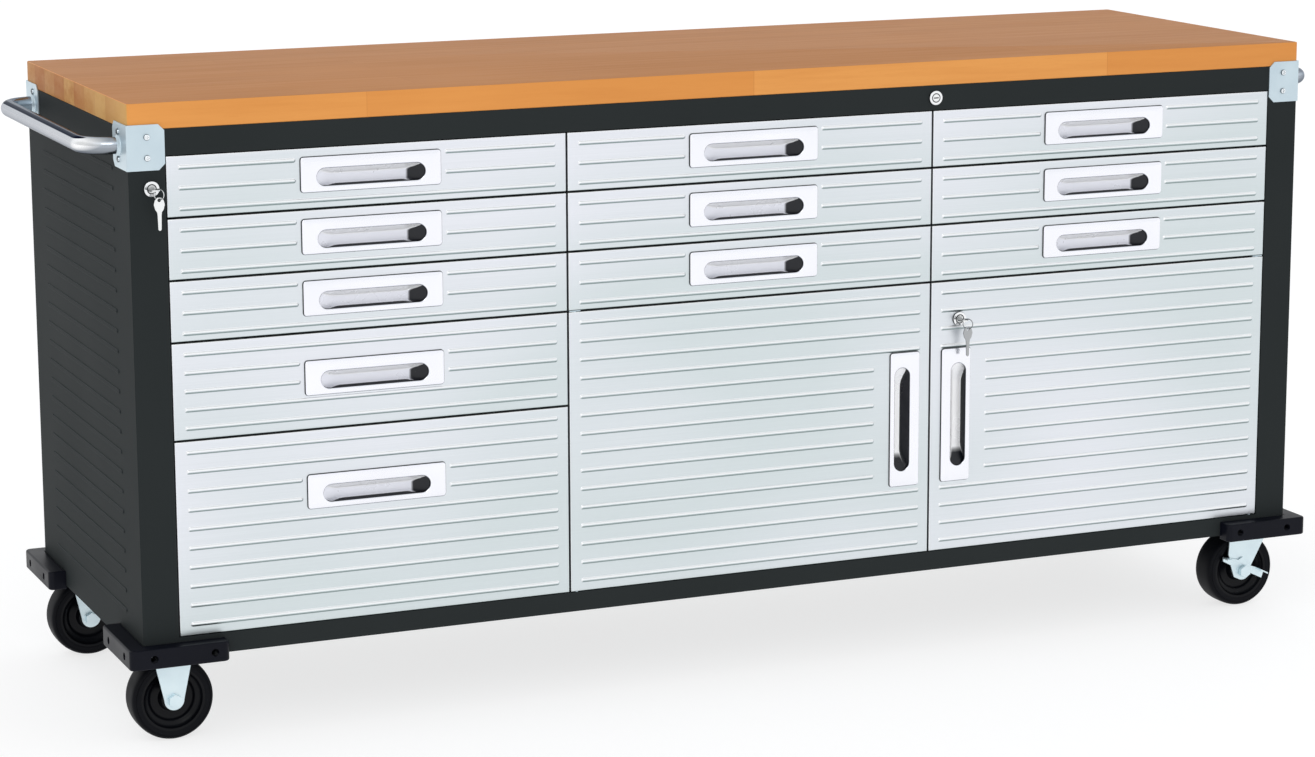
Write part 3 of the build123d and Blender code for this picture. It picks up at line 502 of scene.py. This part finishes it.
def recalculated(obj):
    """Make all of a closed piece's normals face outwards."""
    bm = bmesh.new()
    bm.from_mesh(obj.data)
    bmesh.ops.recalc_face_normals(bm, faces=bm.faces)
    bm.to_mesh(obj.data)
    bm.free()
    return obj


def softened(node, body, material, width, segments=2, shortest=0.0):
    """The CAD shape of a node with its hard edges rounded over, as a new piece that stands for it."""
    source = frame["nodes"][node].data
    bm = bmesh.new()
    bm.from_mesh(source)
    bmesh.ops.remove_doubles(bm, verts=bm.verts, dist=2e-6)
    bmesh.ops.dissolve_limit(bm, angle_limit=math.radians(1.0), verts=bm.verts, edges=bm.edges)
    hard = [e for e in bm.edges if len(e.link_faces) == 2 and e.calc_face_angle(0.0) > math.radians(HARD_EDGE)
            and e.calc_length() > shortest * MM]
    bmesh.ops.bevel(bm, geom=hard, offset=width * MM, segments=segments, profile=0.5, affect="EDGES",
                    clamp_overlap=shortest == 0.0, offset_type="OFFSET")
    mesh = bpy.data.meshes.new(node + "_soft")
    bm.to_mesh(mesh)
    bm.free()
    mesh.materials.clear()
    mesh.materials.append(material)
    smooth_by_angle(mesh, SMOOTH_ANGLE)
    obj = bpy.data.objects.new(node + "_soft", mesh)
    bpy.context.scene.collection.objects.link(obj)
    even = obj.modifiers.new("even_shading", "WEIGHTED_NORMAL")
    even.keep_sharp = True
    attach(obj, body)
    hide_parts(node)
    return obj


# ---------------------------------------------------------------- ribbed fronts


def rib_rows(height, count):
    """Heights of the ribs above the middle of a front."""
    pitch = RIB_PITCH_SMALL if count == 3 else (height - 2 * RIB_FIRST) / (count - 1)
    return [height / 2 - RIB_FIRST - i * pitch for i in range(count)]


def rib_spans(width, z, gap_x, gap_z):
    low, high = -width / 2 + RIB_MARGIN, width / 2 - RIB_MARGIN
    if not gap_z[0] < z < gap_z[1]:
        return [(low, high)]
    spans = [(low, gap_x[0]), (gap_x[1], high)]
    return [span for span in spans if span[1] - span[0] > 3 * RIB_WIDTH]


def merged(values, low, high):
    """Sorted values inside two limits, with near-equal ones taken once."""
    kept = []
    for value in sorted(v for v in values if low <= v <= high):
        if not kept or value - kept[-1] > LINE_MERGE:
            kept.append(value)
    return kept


def ribbed_panel(name, width, height, ribs, cut, centre, body, replaces, flat=None):
    """Pressed sheet front: ribs, rounded edges, four returns and an opening for the pull's cup."""
    edge = PANEL_EDGE
    half_x, half_z = width / 2, height / 2
    radius = RIB_WIDTH / 2
    steps = (0.0, 0.9, 1.7, 2.3, 2.75, 3.05, 3.3, 4.0)
    xs = [-half_x + edge, half_x - edge, cut[0], cut[1]]
    zs = [-half_z + edge, half_z - edge, cut[2], cut[3]]
    xs += [cut[0] - 0.8, cut[1] + 0.8]
    zs += [cut[2] - 0.8, cut[3] + 0.8]
    for x0, x1, z in ribs:
        zs += [z + side * step for side in (-1, 1) for step in steps]
        for end, inward in ((x0, 1), (x1, -1)):
            middle = end + inward * radius
            xs += [middle - inward * step for step in steps] + [middle + inward * 0.8, middle + inward * 1.6]
    if flat is not None:
        xs += [flat[0] + side * step for side in (-1, 1) for step in (9.0, 11.0, 12.5, 14.0, 15.5)]
    xs = np.array(merged(xs, -half_x + edge, half_x - edge))
    zs = np.array(merged(zs, -half_z + edge, half_z - edge))
    gx, gz = np.meshgrid(xs, zs, indexing="ij")
    rise = np.zeros_like(gx)
    for x0, x1, z in ribs:
        nearest = np.clip(gx, x0 + radius, x1 - radius)
        distance = np.hypot(gx - nearest, gz - z) / radius
        rise = np.maximum(rise, np.clip(1 - distance ** 2, 0, 1))
    if flat is not None:
        away = np.hypot(gx - flat[0], gz - flat[1])
        rise *= np.clip((away - LOCK_FLAT + 1.5) / 2.5, 0, 1)
    b = Builder()
    index = {}
    for i, x in enumerate(xs):
        for j, z in enumerate(zs):
            index[i, j] = len(b.verts)
            b.verts.append((x, -RIB_HEIGHT * rise[i, j], z))
    for i in range(len(xs) - 1):
        for j in range(len(zs) - 1):
            mid_x, mid_z = (xs[i] + xs[i + 1]) / 2, (zs[j] + zs[j + 1]) / 2
            if not (cut[0] < mid_x < cut[1] and cut[2] < mid_z < cut[3]):
                b.faces.append((index[i, j], index[i + 1, j], index[i + 1, j + 1], index[i, j + 1]))
    nx, nz = len(xs) - 1, len(zs) - 1
    rim = [(i, 0) for i in range(nx)] + [(nx, j) for j in range(nz)]
    rim += [(i, nz) for i in range(nx, 0, -1)] + [(0, j) for j in range(nz, 0, -1)]
    previous = [index[key] for key in rim]
    ring_steps = [(edge * math.sin(math.radians(a)), edge * (1 - math.cos(math.radians(a))))
                  for a in (30, 60, 90)]
    for out, back in [*ring_steps, (edge, FRONT_DEPTH)]:
        ring = []
        for i, j in rim:
            dx = -1 if i == 0 else (1 if i == nx else 0)
            dz = -1 if j == 0 else (1 if j == nz else 0)
            ring.append((xs[i] + dx * out, back, zs[j] + dz * out))
        loop = b.loop(ring)
        b.bridge(loop, previous)
        previous = loop
    verts = b.placed(Matrix.Translation(centre))
    obj = piece(name, verts, b.faces, body, [STEEL], replaces, degrees=PRESSED_SMOOTH_ANGLE)
    thick = obj.modifiers.new("sheet", "SOLIDIFY")
    thick.thickness = SHEET * MM
    thick.offset = -1.0
    return obj


# ---------------------------------------------------------------- recessed pulls


def pull_mesh():
    """Recessed pull about its plate's centre: u along it, v across, w out of the face."""
    b = Builder()
    half_l, half_h, plate = PULL_LENGTH / 2, PULL_HEIGHT / 2, PULL_PLATE
    slot_a, slot_b = SLOT_LENGTH / 2, SLOT_HEIGHT / 2

    def outer(inset, w):
        return [(u, v, w) for u, v in rounded_loop(half_l - inset, half_h - inset, 5.0 - inset)]

    def inner(grow, w):
        points = rounded_loop(slot_a + grow, slot_b + grow, slot_b + grow, centre_v=-SLOT_DROP)
        return [(u, v, w) for u, v in points]

    rings = [outer(0.0, 0.0), outer(0.0, plate - 1.3), outer(0.17, plate - 0.65), outer(0.65, plate - 0.17),
             outer(1.3, plate)]
    rings += [inner(3.0, plate), inner(2.2, plate - 0.05), inner(1.3, plate - 0.35), inner(0.5, plate - 0.95),
              inner(0.1, plate - 1.6), inner(0.0, 0.3), inner(0.5, 0.0)]
    b.skin(rings, closed=True)
    b.face_slots = [0] * len(b.faces)
    # A grey rim 0.7 mm wider than the plate round its foot, painted shade along the plate's edges.
    edge_shade_rim = [outer(0.3, 0.0), outer(-0.7, 0.0), outer(-0.7, 0.4), outer(-0.5, 0.6), outer(0.3, 0.6)]
    b.skin(edge_shade_rim, closed=True)
    b.face_slots += [2] * (len(b.faces) - len(b.face_slots))

    rim_a, rim_b = slot_a + 0.6, (SLOT_HEIGHT + CUP_POCKET + 0.8) / 2
    middle = -SLOT_DROP + slot_b + 0.4 - rim_b
    top = middle + rim_b

    def contour(half_u, half_v, radius, steps=8):
        """Rounded loop with further points along both straight sides."""
        points = rounded_loop(half_u, half_v, radius, steps, centre_v=middle)
        split = 2 * (steps + 1)
        along = [*SCOOP_STATIONS, 0.0, *(-u for u in reversed(SCOOP_STATIONS))]
        return (points[:steps + 1] + [(u, middle + half_v) for u in along]
                + points[steps + 1:split + steps + 1] + [(-u, middle - half_v) for u in along]
                + points[split + steps + 1:])

    def closed_strip(loop):
        """Faces across the narrow last contour."""
        n = len(loop)
        for i in range(n // 2 - 1):
            b.faces.append((loop[i], loop[i + 1], loop[n - 2 - i], loop[n - 1 - i]))

    def basin(inset, wall):
        """One contour of the scoop: steep rounded walls, and a slope down from its upper edge."""
        ring = []
        for u, v in contour(rim_a - inset + wall, rim_b - inset + wall, max(CUP_CORNER - inset, 0.3) + wall):
            from_end = min(max(rim_a + wall - abs(u), 0.0) / END_FILLET, 1.0)
            near = min(inset / PULL_FILLET, 1.0)
            deep = CUP_DEPTH * math.sqrt(max(0.0, 1 - (1 - near) ** 2))
            deep = min(deep, CUP_DEPTH * (1 - (1 - from_end) ** 1.6) + 1.0)
            slope = max(0.0, (top - min(v, top)) * CUP_DEPTH / SCOOP_DROP)
            share = max(SLOPE_BLEND - abs(deep - slope), 0.0) / SLOPE_BLEND
            depth = min(deep, slope) - share * share * SLOPE_BLEND / 4
            ring.append((u, v, -max(depth, 0.0) - wall))
        return ring

    insets = (0.0, 0.1, 0.35, 0.8, 1.5, 2.4, 3.5, 4.8, 6.2, 8.0, 10.0, 11.8, 13.4, 14.6, rim_b - 0.4)
    inside = [basin(inset, 0.0) for inset in insets]
    outside = [basin(inset, SHEET) for inset in reversed(insets)]
    loops = b.skin(inside)
    closed_strip(loops[-1])
    back_loops = b.skin(outside)
    closed_strip(back_loops[0])
    b.bridge(back_loops[-1], loops[0])
    b.face_slots += [1] * (len(b.faces) - len(b.face_slots))
    return b


PULL = pull_mesh()


def add_pull(name, centre, turn, body, cup, replaces=()):
    """Place a pull on a face; turn is its angle about the face's normal, in degrees, as in the CAD."""
    upright = Matrix(((1, 0, 0, 0), (0, 0, -1, 0), (0, 1, 0, 0), (0, 0, 0, 1)))
    place = Matrix.Translation(centre) @ Matrix.Rotation(math.radians(turn), 4, "Y") @ upright
    obj = piece(name, PULL.placed(place), PULL.faces, body, [CHROME, cup, PULL_EDGE_SHADE], replaces,
                degrees=PRESSED_SMOOTH_ANGLE, face_slots=PULL.face_slots)
    return recalculated(obj)


# ---------------------------------------------------------------- drawers and doors


def face_of(node):
    """Width, height and face centre of a front's CAD node, in millimetres."""
    low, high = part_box(node)
    centre = Vector(((low.x + high.x) / 2, high.y - FRONT_DEPTH * MM, (low.z + high.z) / 2)) / MM
    return (high.x - low.x) / MM, (high.z - low.z) / MM, centre


def cut_box(centre_x, centre_z, turn):
    """The opening for a pull's cup, as x and z limits on the face."""
    reach_u = SLOT_LENGTH / 2 + CUP_MARGIN
    high_v = SLOT_HEIGHT / 2 - SLOT_DROP + CUP_MARGIN
    low_v = -SLOT_HEIGHT / 2 - SLOT_DROP - CUP_POCKET - CUP_MARGIN
    if turn == 0:
        return centre_x - reach_u, centre_x + reach_u, centre_z + low_v, centre_z + high_v
    xs = (centre_x + low_v, centre_x + high_v) if turn > 0 else (centre_x - high_v, centre_x - low_v)
    return *xs, centre_z - reach_u, centre_z + reach_u


def add_drawer_front(drawer):
    node = drawer + "_front"
    width, height, centre = face_of(node)
    count = 3 if height < 100 else (5 if height < 200 else 10)
    pull_z = height / 2 - PULL_TOPS[count] - PULL_HEIGHT / 2
    gap_x = PULL_LENGTH / 2 + RIB_PULL_GAP
    gap_z = PULL_HEIGHT / 2 + RIB_WIDTH / 2
    ribs = [(x0, x1, z) for z in rib_rows(height, count)
            for x0, x1 in rib_spans(width, z, (-gap_x, gap_x), (pull_z - gap_z, pull_z + gap_z))]
    ribbed_panel(node + "_panel", width, height, ribs, cut_box(0, pull_z, 0), centre, drawer, (node,))
    add_pull(node + "_pull", centre + Vector((0, 0, pull_z)), 0, drawer, CUP)


def add_door(side, name, lock=None):
    """side -1 is the left door, whose free edge is on its right."""
    node = "door_" + name
    body = name + "_door"
    width, height, centre = face_of(node)
    free_edge = -side * width / 2
    pull_x = free_edge + side * (DOOR_PULL_EDGE + PULL_HEIGHT / 2)
    pull_z = height / 2 - DOOR_PULL_TOP - PULL_LENGTH / 2
    gap_z = PULL_LENGTH / 2 + RIB_WIDTH / 2
    rib_from = free_edge + side * DOOR_RIB_START
    past = free_edge - side * DOOR_RIB_PAST_EDGE
    gap_x = (past, rib_from) if side > 0 else (rib_from, past)
    turn = -90 if side > 0 else 90
    ribs = [(x0, x1, z) for z in rib_rows(height, DOOR_RIBS)
            for x0, x1 in rib_spans(width, z, gap_x, (pull_z - gap_z, pull_z + gap_z))]
    flat = None if lock is None else (lock.x - centre.x, lock.z - centre.z)
    cut = cut_box(pull_x, pull_z, turn)
    ribbed_panel(node + "_panel", width, height, ribs, cut, centre, body, (node,), flat)
    add_pull(node + "_chrome_pull", centre + Vector((pull_x, 0, pull_z)), turn, body, DOOR_CUP,
             (node + "_pull",))


# ---------------------------------------------------------------- wood, handles and wheels


def add_wood_top():
    low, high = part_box("wood_top")
    bm = bmesh.new()
    bmesh.ops.create_cube(bm, size=1.0)
    for v in bm.verts:
        v.co = Vector((low[i] + (v.co[i] + 0.5) * (high[i] - low[i]) for i in range(3)))
    upright = [e for e in bm.edges if abs(e.verts[0].co.z - e.verts[1].co.z) > 0.001]
    bmesh.ops.bevel(bm, geom=upright, offset=4 * MM, segments=4, profile=0.5, affect="EDGES")
    rims = [e for e in bm.edges if abs(e.verts[0].co.z - e.verts[1].co.z) < 1e-6]
    bmesh.ops.bevel(bm, geom=rims, offset=1.8 * MM, segments=3, profile=0.5, affect="EDGES")
    mesh = bpy.data.meshes.new("glued_wood_top")
    bm.normal_update()
    for f in bm.faces:
        f.material_index = 0 if abs(f.normal.z) > 0.9 else (2 if abs(f.normal.x) > 0.75 else 1)
    bm.to_mesh(mesh)
    bm.free()
    for material in (WOOD_FACE, WOOD_EDGE, WOOD_END):
        mesh.materials.append(material)
    smooth_by_angle(mesh, SMOOTH_ANGLE)
    obj = bpy.data.objects.new("glued_wood_top", mesh)
    bpy.context.scene.collection.objects.link(obj)
    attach(obj, "cabinet")
    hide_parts("wood_top")


def tube(builder, path, radius, steps=32):
    """Round bar along a path that stays in one level plane."""
    rings = []
    for i, point in enumerate(path):
        before, after = path[max(i - 1, 0)], path[min(i + 1, len(path) - 1)]
        along = (after - before).normalized()
        across = along.cross(Vector((0, 0, 1)))
        ring = []
        for k in range(steps):
            angle = 2 * math.pi * k / steps
            ring.append(point + radius * (math.cos(angle) * across + math.sin(angle) * Vector((0, 0, 1))))
        rings.append(ring)
    loops = builder.skin(rings)
    builder.cap(loops[0])
    builder.cap(loops[-1], flip=True)


def add_push_handles():
    low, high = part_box("push_handles")
    radius = (high.z - low.z) / 2 / MM
    level = (high.z + low.z) / 2 / MM
    reach_x = high.x / MM - radius
    root_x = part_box("handle_brackets")[1].x / MM
    half_y = high.y / MM - radius
    for side, name in ((-1, "left"), (1, "right")):
        b = Builder()
        flat = [(root_x, -half_y)]
        flat += arc((reach_x - HANDLE_BEND, -half_y + HANDLE_BEND), HANDLE_BEND, -90, 0, 20)
        flat += arc((reach_x - HANDLE_BEND, half_y - HANDLE_BEND), HANDLE_BEND, 0, 90, 20)
        flat += [(root_x, half_y)]
        tube(b, [Vector((side * x, y, level)) for x, y in flat], radius)
        b.face_slots = [0] * len(b.faces)
        for y in (-half_y, half_y):
            collar = [(radius, 0.0), (radius + 3.6, 0.0), (radius + 3.4, 1.0), (radius + 2.2, 2.0),
                      (radius + 0.9, 3.0), (radius, 4.6)]
            rings = []
            for r, out in collar:
                rings.append([(side * (root_x + out), y + r * math.cos(2 * math.pi * k / 48),
                               level + r * math.sin(2 * math.pi * k / 48)) for k in range(48)])
            b.skin(rings)
        b.face_slots += [1] * (len(b.faces) - len(b.face_slots))
        obj = piece(f"push_handle_{name}", [Vector(v) * MM for v in b.verts], b.faces, "cabinet",
                    [HANDLE_CHROME, ZINC], ("push_handles",) if side < 0 else (),
                    degrees=SMOOTH_ANGLE, face_slots=b.face_slots)
        recalculated(obj)


def add_wheel(node, body):
    """Solid tyre on a dished core, with the mould's rings on both faces."""
    low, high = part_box(node)
    centre = tuple((low[i] + high[i]) / 2 / MM for i in range(3))
    radius = (high.z - low.z) / 2 / MM
    half = (high.y - low.y) / 2 / MM
    seat = radius - TYRE_DEPTH
    side = [(seat, half - 0.6), (seat + 1.2, half - 0.1), (seat + 3.0, half), (radius - 7.2, half),
            (radius - 6.8, half - 0.7), (radius - 6.0, half - 0.7), (radius - 5.6, half - 0.1),
            (radius - 4.6, half - 0.3), (radius - 3.0, half - 1.3), (radius - 1.6, half - 3.2),
            (radius - 0.8, half - 6.0), (radius - 0.25, half - 11.0), (radius, half - 17.0)]
    b = Builder()
    lathe(b, side + [(r, -y) for r, y in reversed(side)], centre)
    recalculated(piece(node + "_tyre", [Vector(v) * MM for v in b.verts], b.faces, body,
                       [RUBBER], (node,), degrees=SMOOTH_ANGLE))
    dish = [(6.1, half - 0.2), (15.5, half - 0.2), (17.2, half - 0.9), (18.2, half - 2.6), (19.0, 12.0),
            (20.5, 9.6), (23.0, 8.8), (31.0, 8.8), (33.0, 9.6), (34.2, 11.6), (35.2, 13.2), (37.4, 14.2),
            (41.0, 15.4), (43.6, 18.6), (45.0, half - 1.2), (46.6, half - 0.6), (seat, half - 0.6)]
    b = Builder()
    lathe(b, dish + [(r, -y) for r, y in reversed(dish)], centre)
    recalculated(piece(node + "_core", [Vector(v) * MM for v in b.verts], b.faces, body,
                       [WHEEL_CORE], degrees=SMOOTH_ANGLE))


def add_painted_lock_shade(node, body, keyway):
    """Painted shade: a near-black ring just proud of the face round a lock's plug, standing for its shaded
    running gap, and a near-black sheet in the keyway where no key fills it.
    """
    low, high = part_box(node)
    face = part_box("door_lock_barrel")[0].y / MM
    x, z = (low.x + high.x) / 2 / MM, high.z / MM - CAM_HEAD
    b = Builder()
    lathe(b, [(5.8, 0.02), (5.9, -0.12), (7.2, -0.12), (7.4, 0.02)], (x, face, z), steps=48)
    if keyway:
        outline = rounded_loop(4.1, 0.85, 0.3, steps=2)
        loops = b.skin([[(x + u, face + out, z + v) for u, v in outline] for out in (1.5, 1.2)])
        b.cap(loops[0])
        b.cap(loops[1], flip=True)
    recalculated(piece(node + "_painted_shade", [Vector(v) * MM for v in b.verts], b.faces, body,
                       [SHADOW_GAP], degrees=SMOOTH_ANGLE))


# ---------------------------------------------------------------- assembly


DRAWERS = [body for body in frame["bodies"] if "_drawer_" in body]
for drawer in DRAWERS:
    add_drawer_front(drawer)
lock_low, lock_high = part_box("door_lock_barrel")
add_door(-1, "left")
add_door(1, "right", (lock_low + lock_high) / 2 / MM)
add_wood_top()
add_push_handles()
for side in ("left", "right"):
    for corner in ("front", "rear"):
        add_wheel(f"wheel_{side}_{corner}", f"{side}_wheel_{corner}")

# Painted shade round the three locks' plugs.
for node, body, keyway in (("rail_lock_plug", "rail_lock", True), ("stile_lock_key", "stile_lock", False),
                           ("door_lock_key", "door_lock", False)):
    add_painted_lock_shade(node, body, keyway)

softened("handle_brackets", "cabinet", ZINC, 0.5)
softened("corner_bumpers", "cabinet", PLASTIC, 3.5, segments=4, shortest=12.0)
softened("rigid_caster_forks", "cabinet", FORK_ZINC, 0.6)
for corner in ("front", "rear"):
    softened(f"swivel_fork_{corner}", f"swivel_{corner}", FORK_ZINC, 0.6)
    softened(f"brake_pedal_{corner}", f"brake_{corner}", FORK_ZINC, 0.5)

SLOT_MATERIALS = {"cabinet_paint": PAINT, "drawer_paint": DRAWER_PAINT, "front_steel": STEEL,
                  "pull_chrome": CHROME, "handle_chrome": HANDLE_CHROME, "lock_chrome": LOCK_CHROME,
                  "key_nickel": NICKEL, "zinc_plate": ZINC, "slide_zinc": SLIDE_ZINC,
                  "bumper_plastic": PLASTIC, "wheel_rubber": RUBBER, "top_wood": WOOD_FACE}
NODE_MATERIALS = {"screws_clips_and_catches": SCREW, "door_spare_key": KEY_STEEL}
for subpart in frame["record"]["subparts"]:
    cad = frame["nodes"][subpart["node"]]
    cad.data.materials.clear()
    cad.data.materials.append(NODE_MATERIALS.get(subpart["node"], SLOT_MATERIALS[subpart["material_slot"]]))


# ---------------------------------------------------------------- floor, light and camera


def add_floor():
    size = FLOOR_REACH
    mesh = bpy.data.meshes.new("floor")
    corners = [(-size, -size, 0), (size, -size, 0), (size, size, 0), (-size, size, 0)]
    mesh.from_pydata(corners, [], [(0, 1, 2, 3)])
    mesh.materials.append(mottled("pale_floor", (0.33, 0.33, 0.332), (0.32, 0.32, 0.322), 0.8, (0.75, 0.85),
                                  40.0, 0.0001, Specular_IOR_Level=0.1, Emission_Color=(1.0, 1.0, 1.0, 1.0),
                                  Emission_Strength=0.73))
    floor = bpy.data.objects.new("floor", mesh)
    bpy.context.scene.collection.objects.link(floor)


def add_softbox(name, place, target, size, power):
    light = bpy.data.lights.new(name, "AREA")
    light.shape = "RECTANGLE"
    light.size, light.size_y = size
    light.energy = power
    obj = bpy.data.objects.new(name, light)
    obj.location = place
    obj.rotation_euler = (Vector(target) - Vector(place)).to_track_quat("-Z", "Y").to_euler()
    bpy.context.scene.collection.objects.link(obj)


def add_world():
    """Even studio white, with less light straight above and from the far left."""
    world = bpy.data.worlds.new("studio")
    bpy.context.scene.world = world
    world.use_nodes = True
    nodes, links = world.node_tree.nodes, world.node_tree.links
    split = nodes.new("ShaderNodeSeparateXYZ")
    links.new(nodes.new("ShaderNodeTexCoord").outputs["Generated"], split.inputs[0])
    dimmed = []
    for axis, low, high, floor_value in (("Z", 0.55, 0.98, 0.80), ("X", -0.60, -0.95, 0.70)):
        node = nodes.new("ShaderNodeMapRange")
        node.interpolation_type = "SMOOTHSTEP"
        links.new(split.outputs[axis], node.inputs["Value"])
        limits = (("From Min", low), ("From Max", high), ("To Min", 1.0), ("To Max", floor_value))
        for socket, value in limits:
            node.inputs[socket].default_value = value
        dimmed.append(node.outputs["Result"])
    product = nodes.new("ShaderNodeMath")
    product.operation = "MULTIPLY"
    links.new(dimmed[0], product.inputs[0])
    links.new(dimmed[1], product.inputs[1])
    background = nodes["Background"]
    links.new(product.outputs[0], background.inputs["Strength"])
    background.inputs["Color"].default_value = (0.97, 0.985, 1.0, 1.0)


def add_camera():
    """Long lens from the front left, a little above the top."""
    data = bpy.data.cameras.new("camera")
    data.sensor_width = 36.0
    data.lens = 95.25
    data.shift_x = -0.0042
    data.shift_y = -0.0262
    camera = bpy.data.objects.new("camera", data)
    yaw, pitch, roll = (math.radians(a) for a in (CAMERA_YAW, CAMERA_PITCH, CAMERA_ROLL))
    turn = Matrix.Rotation(-yaw, 4, "Z") @ Matrix.Rotation(math.pi / 2 - pitch, 4, "X")
    camera.matrix_world = Matrix.Translation(CAMERA_PLACE) @ turn @ Matrix.Rotation(roll, 4, "Z")
    bpy.context.scene.collection.objects.link(camera)
    bpy.context.scene.camera = camera


add_floor()
add_world()
add_softbox("key", (-2.2, -4.2, 3.4), (0.0, 0.0, 0.5), (2.6, 2.0), 22.0)
add_camera()
bpy.context.scene.view_settings.view_transform = "Standard"
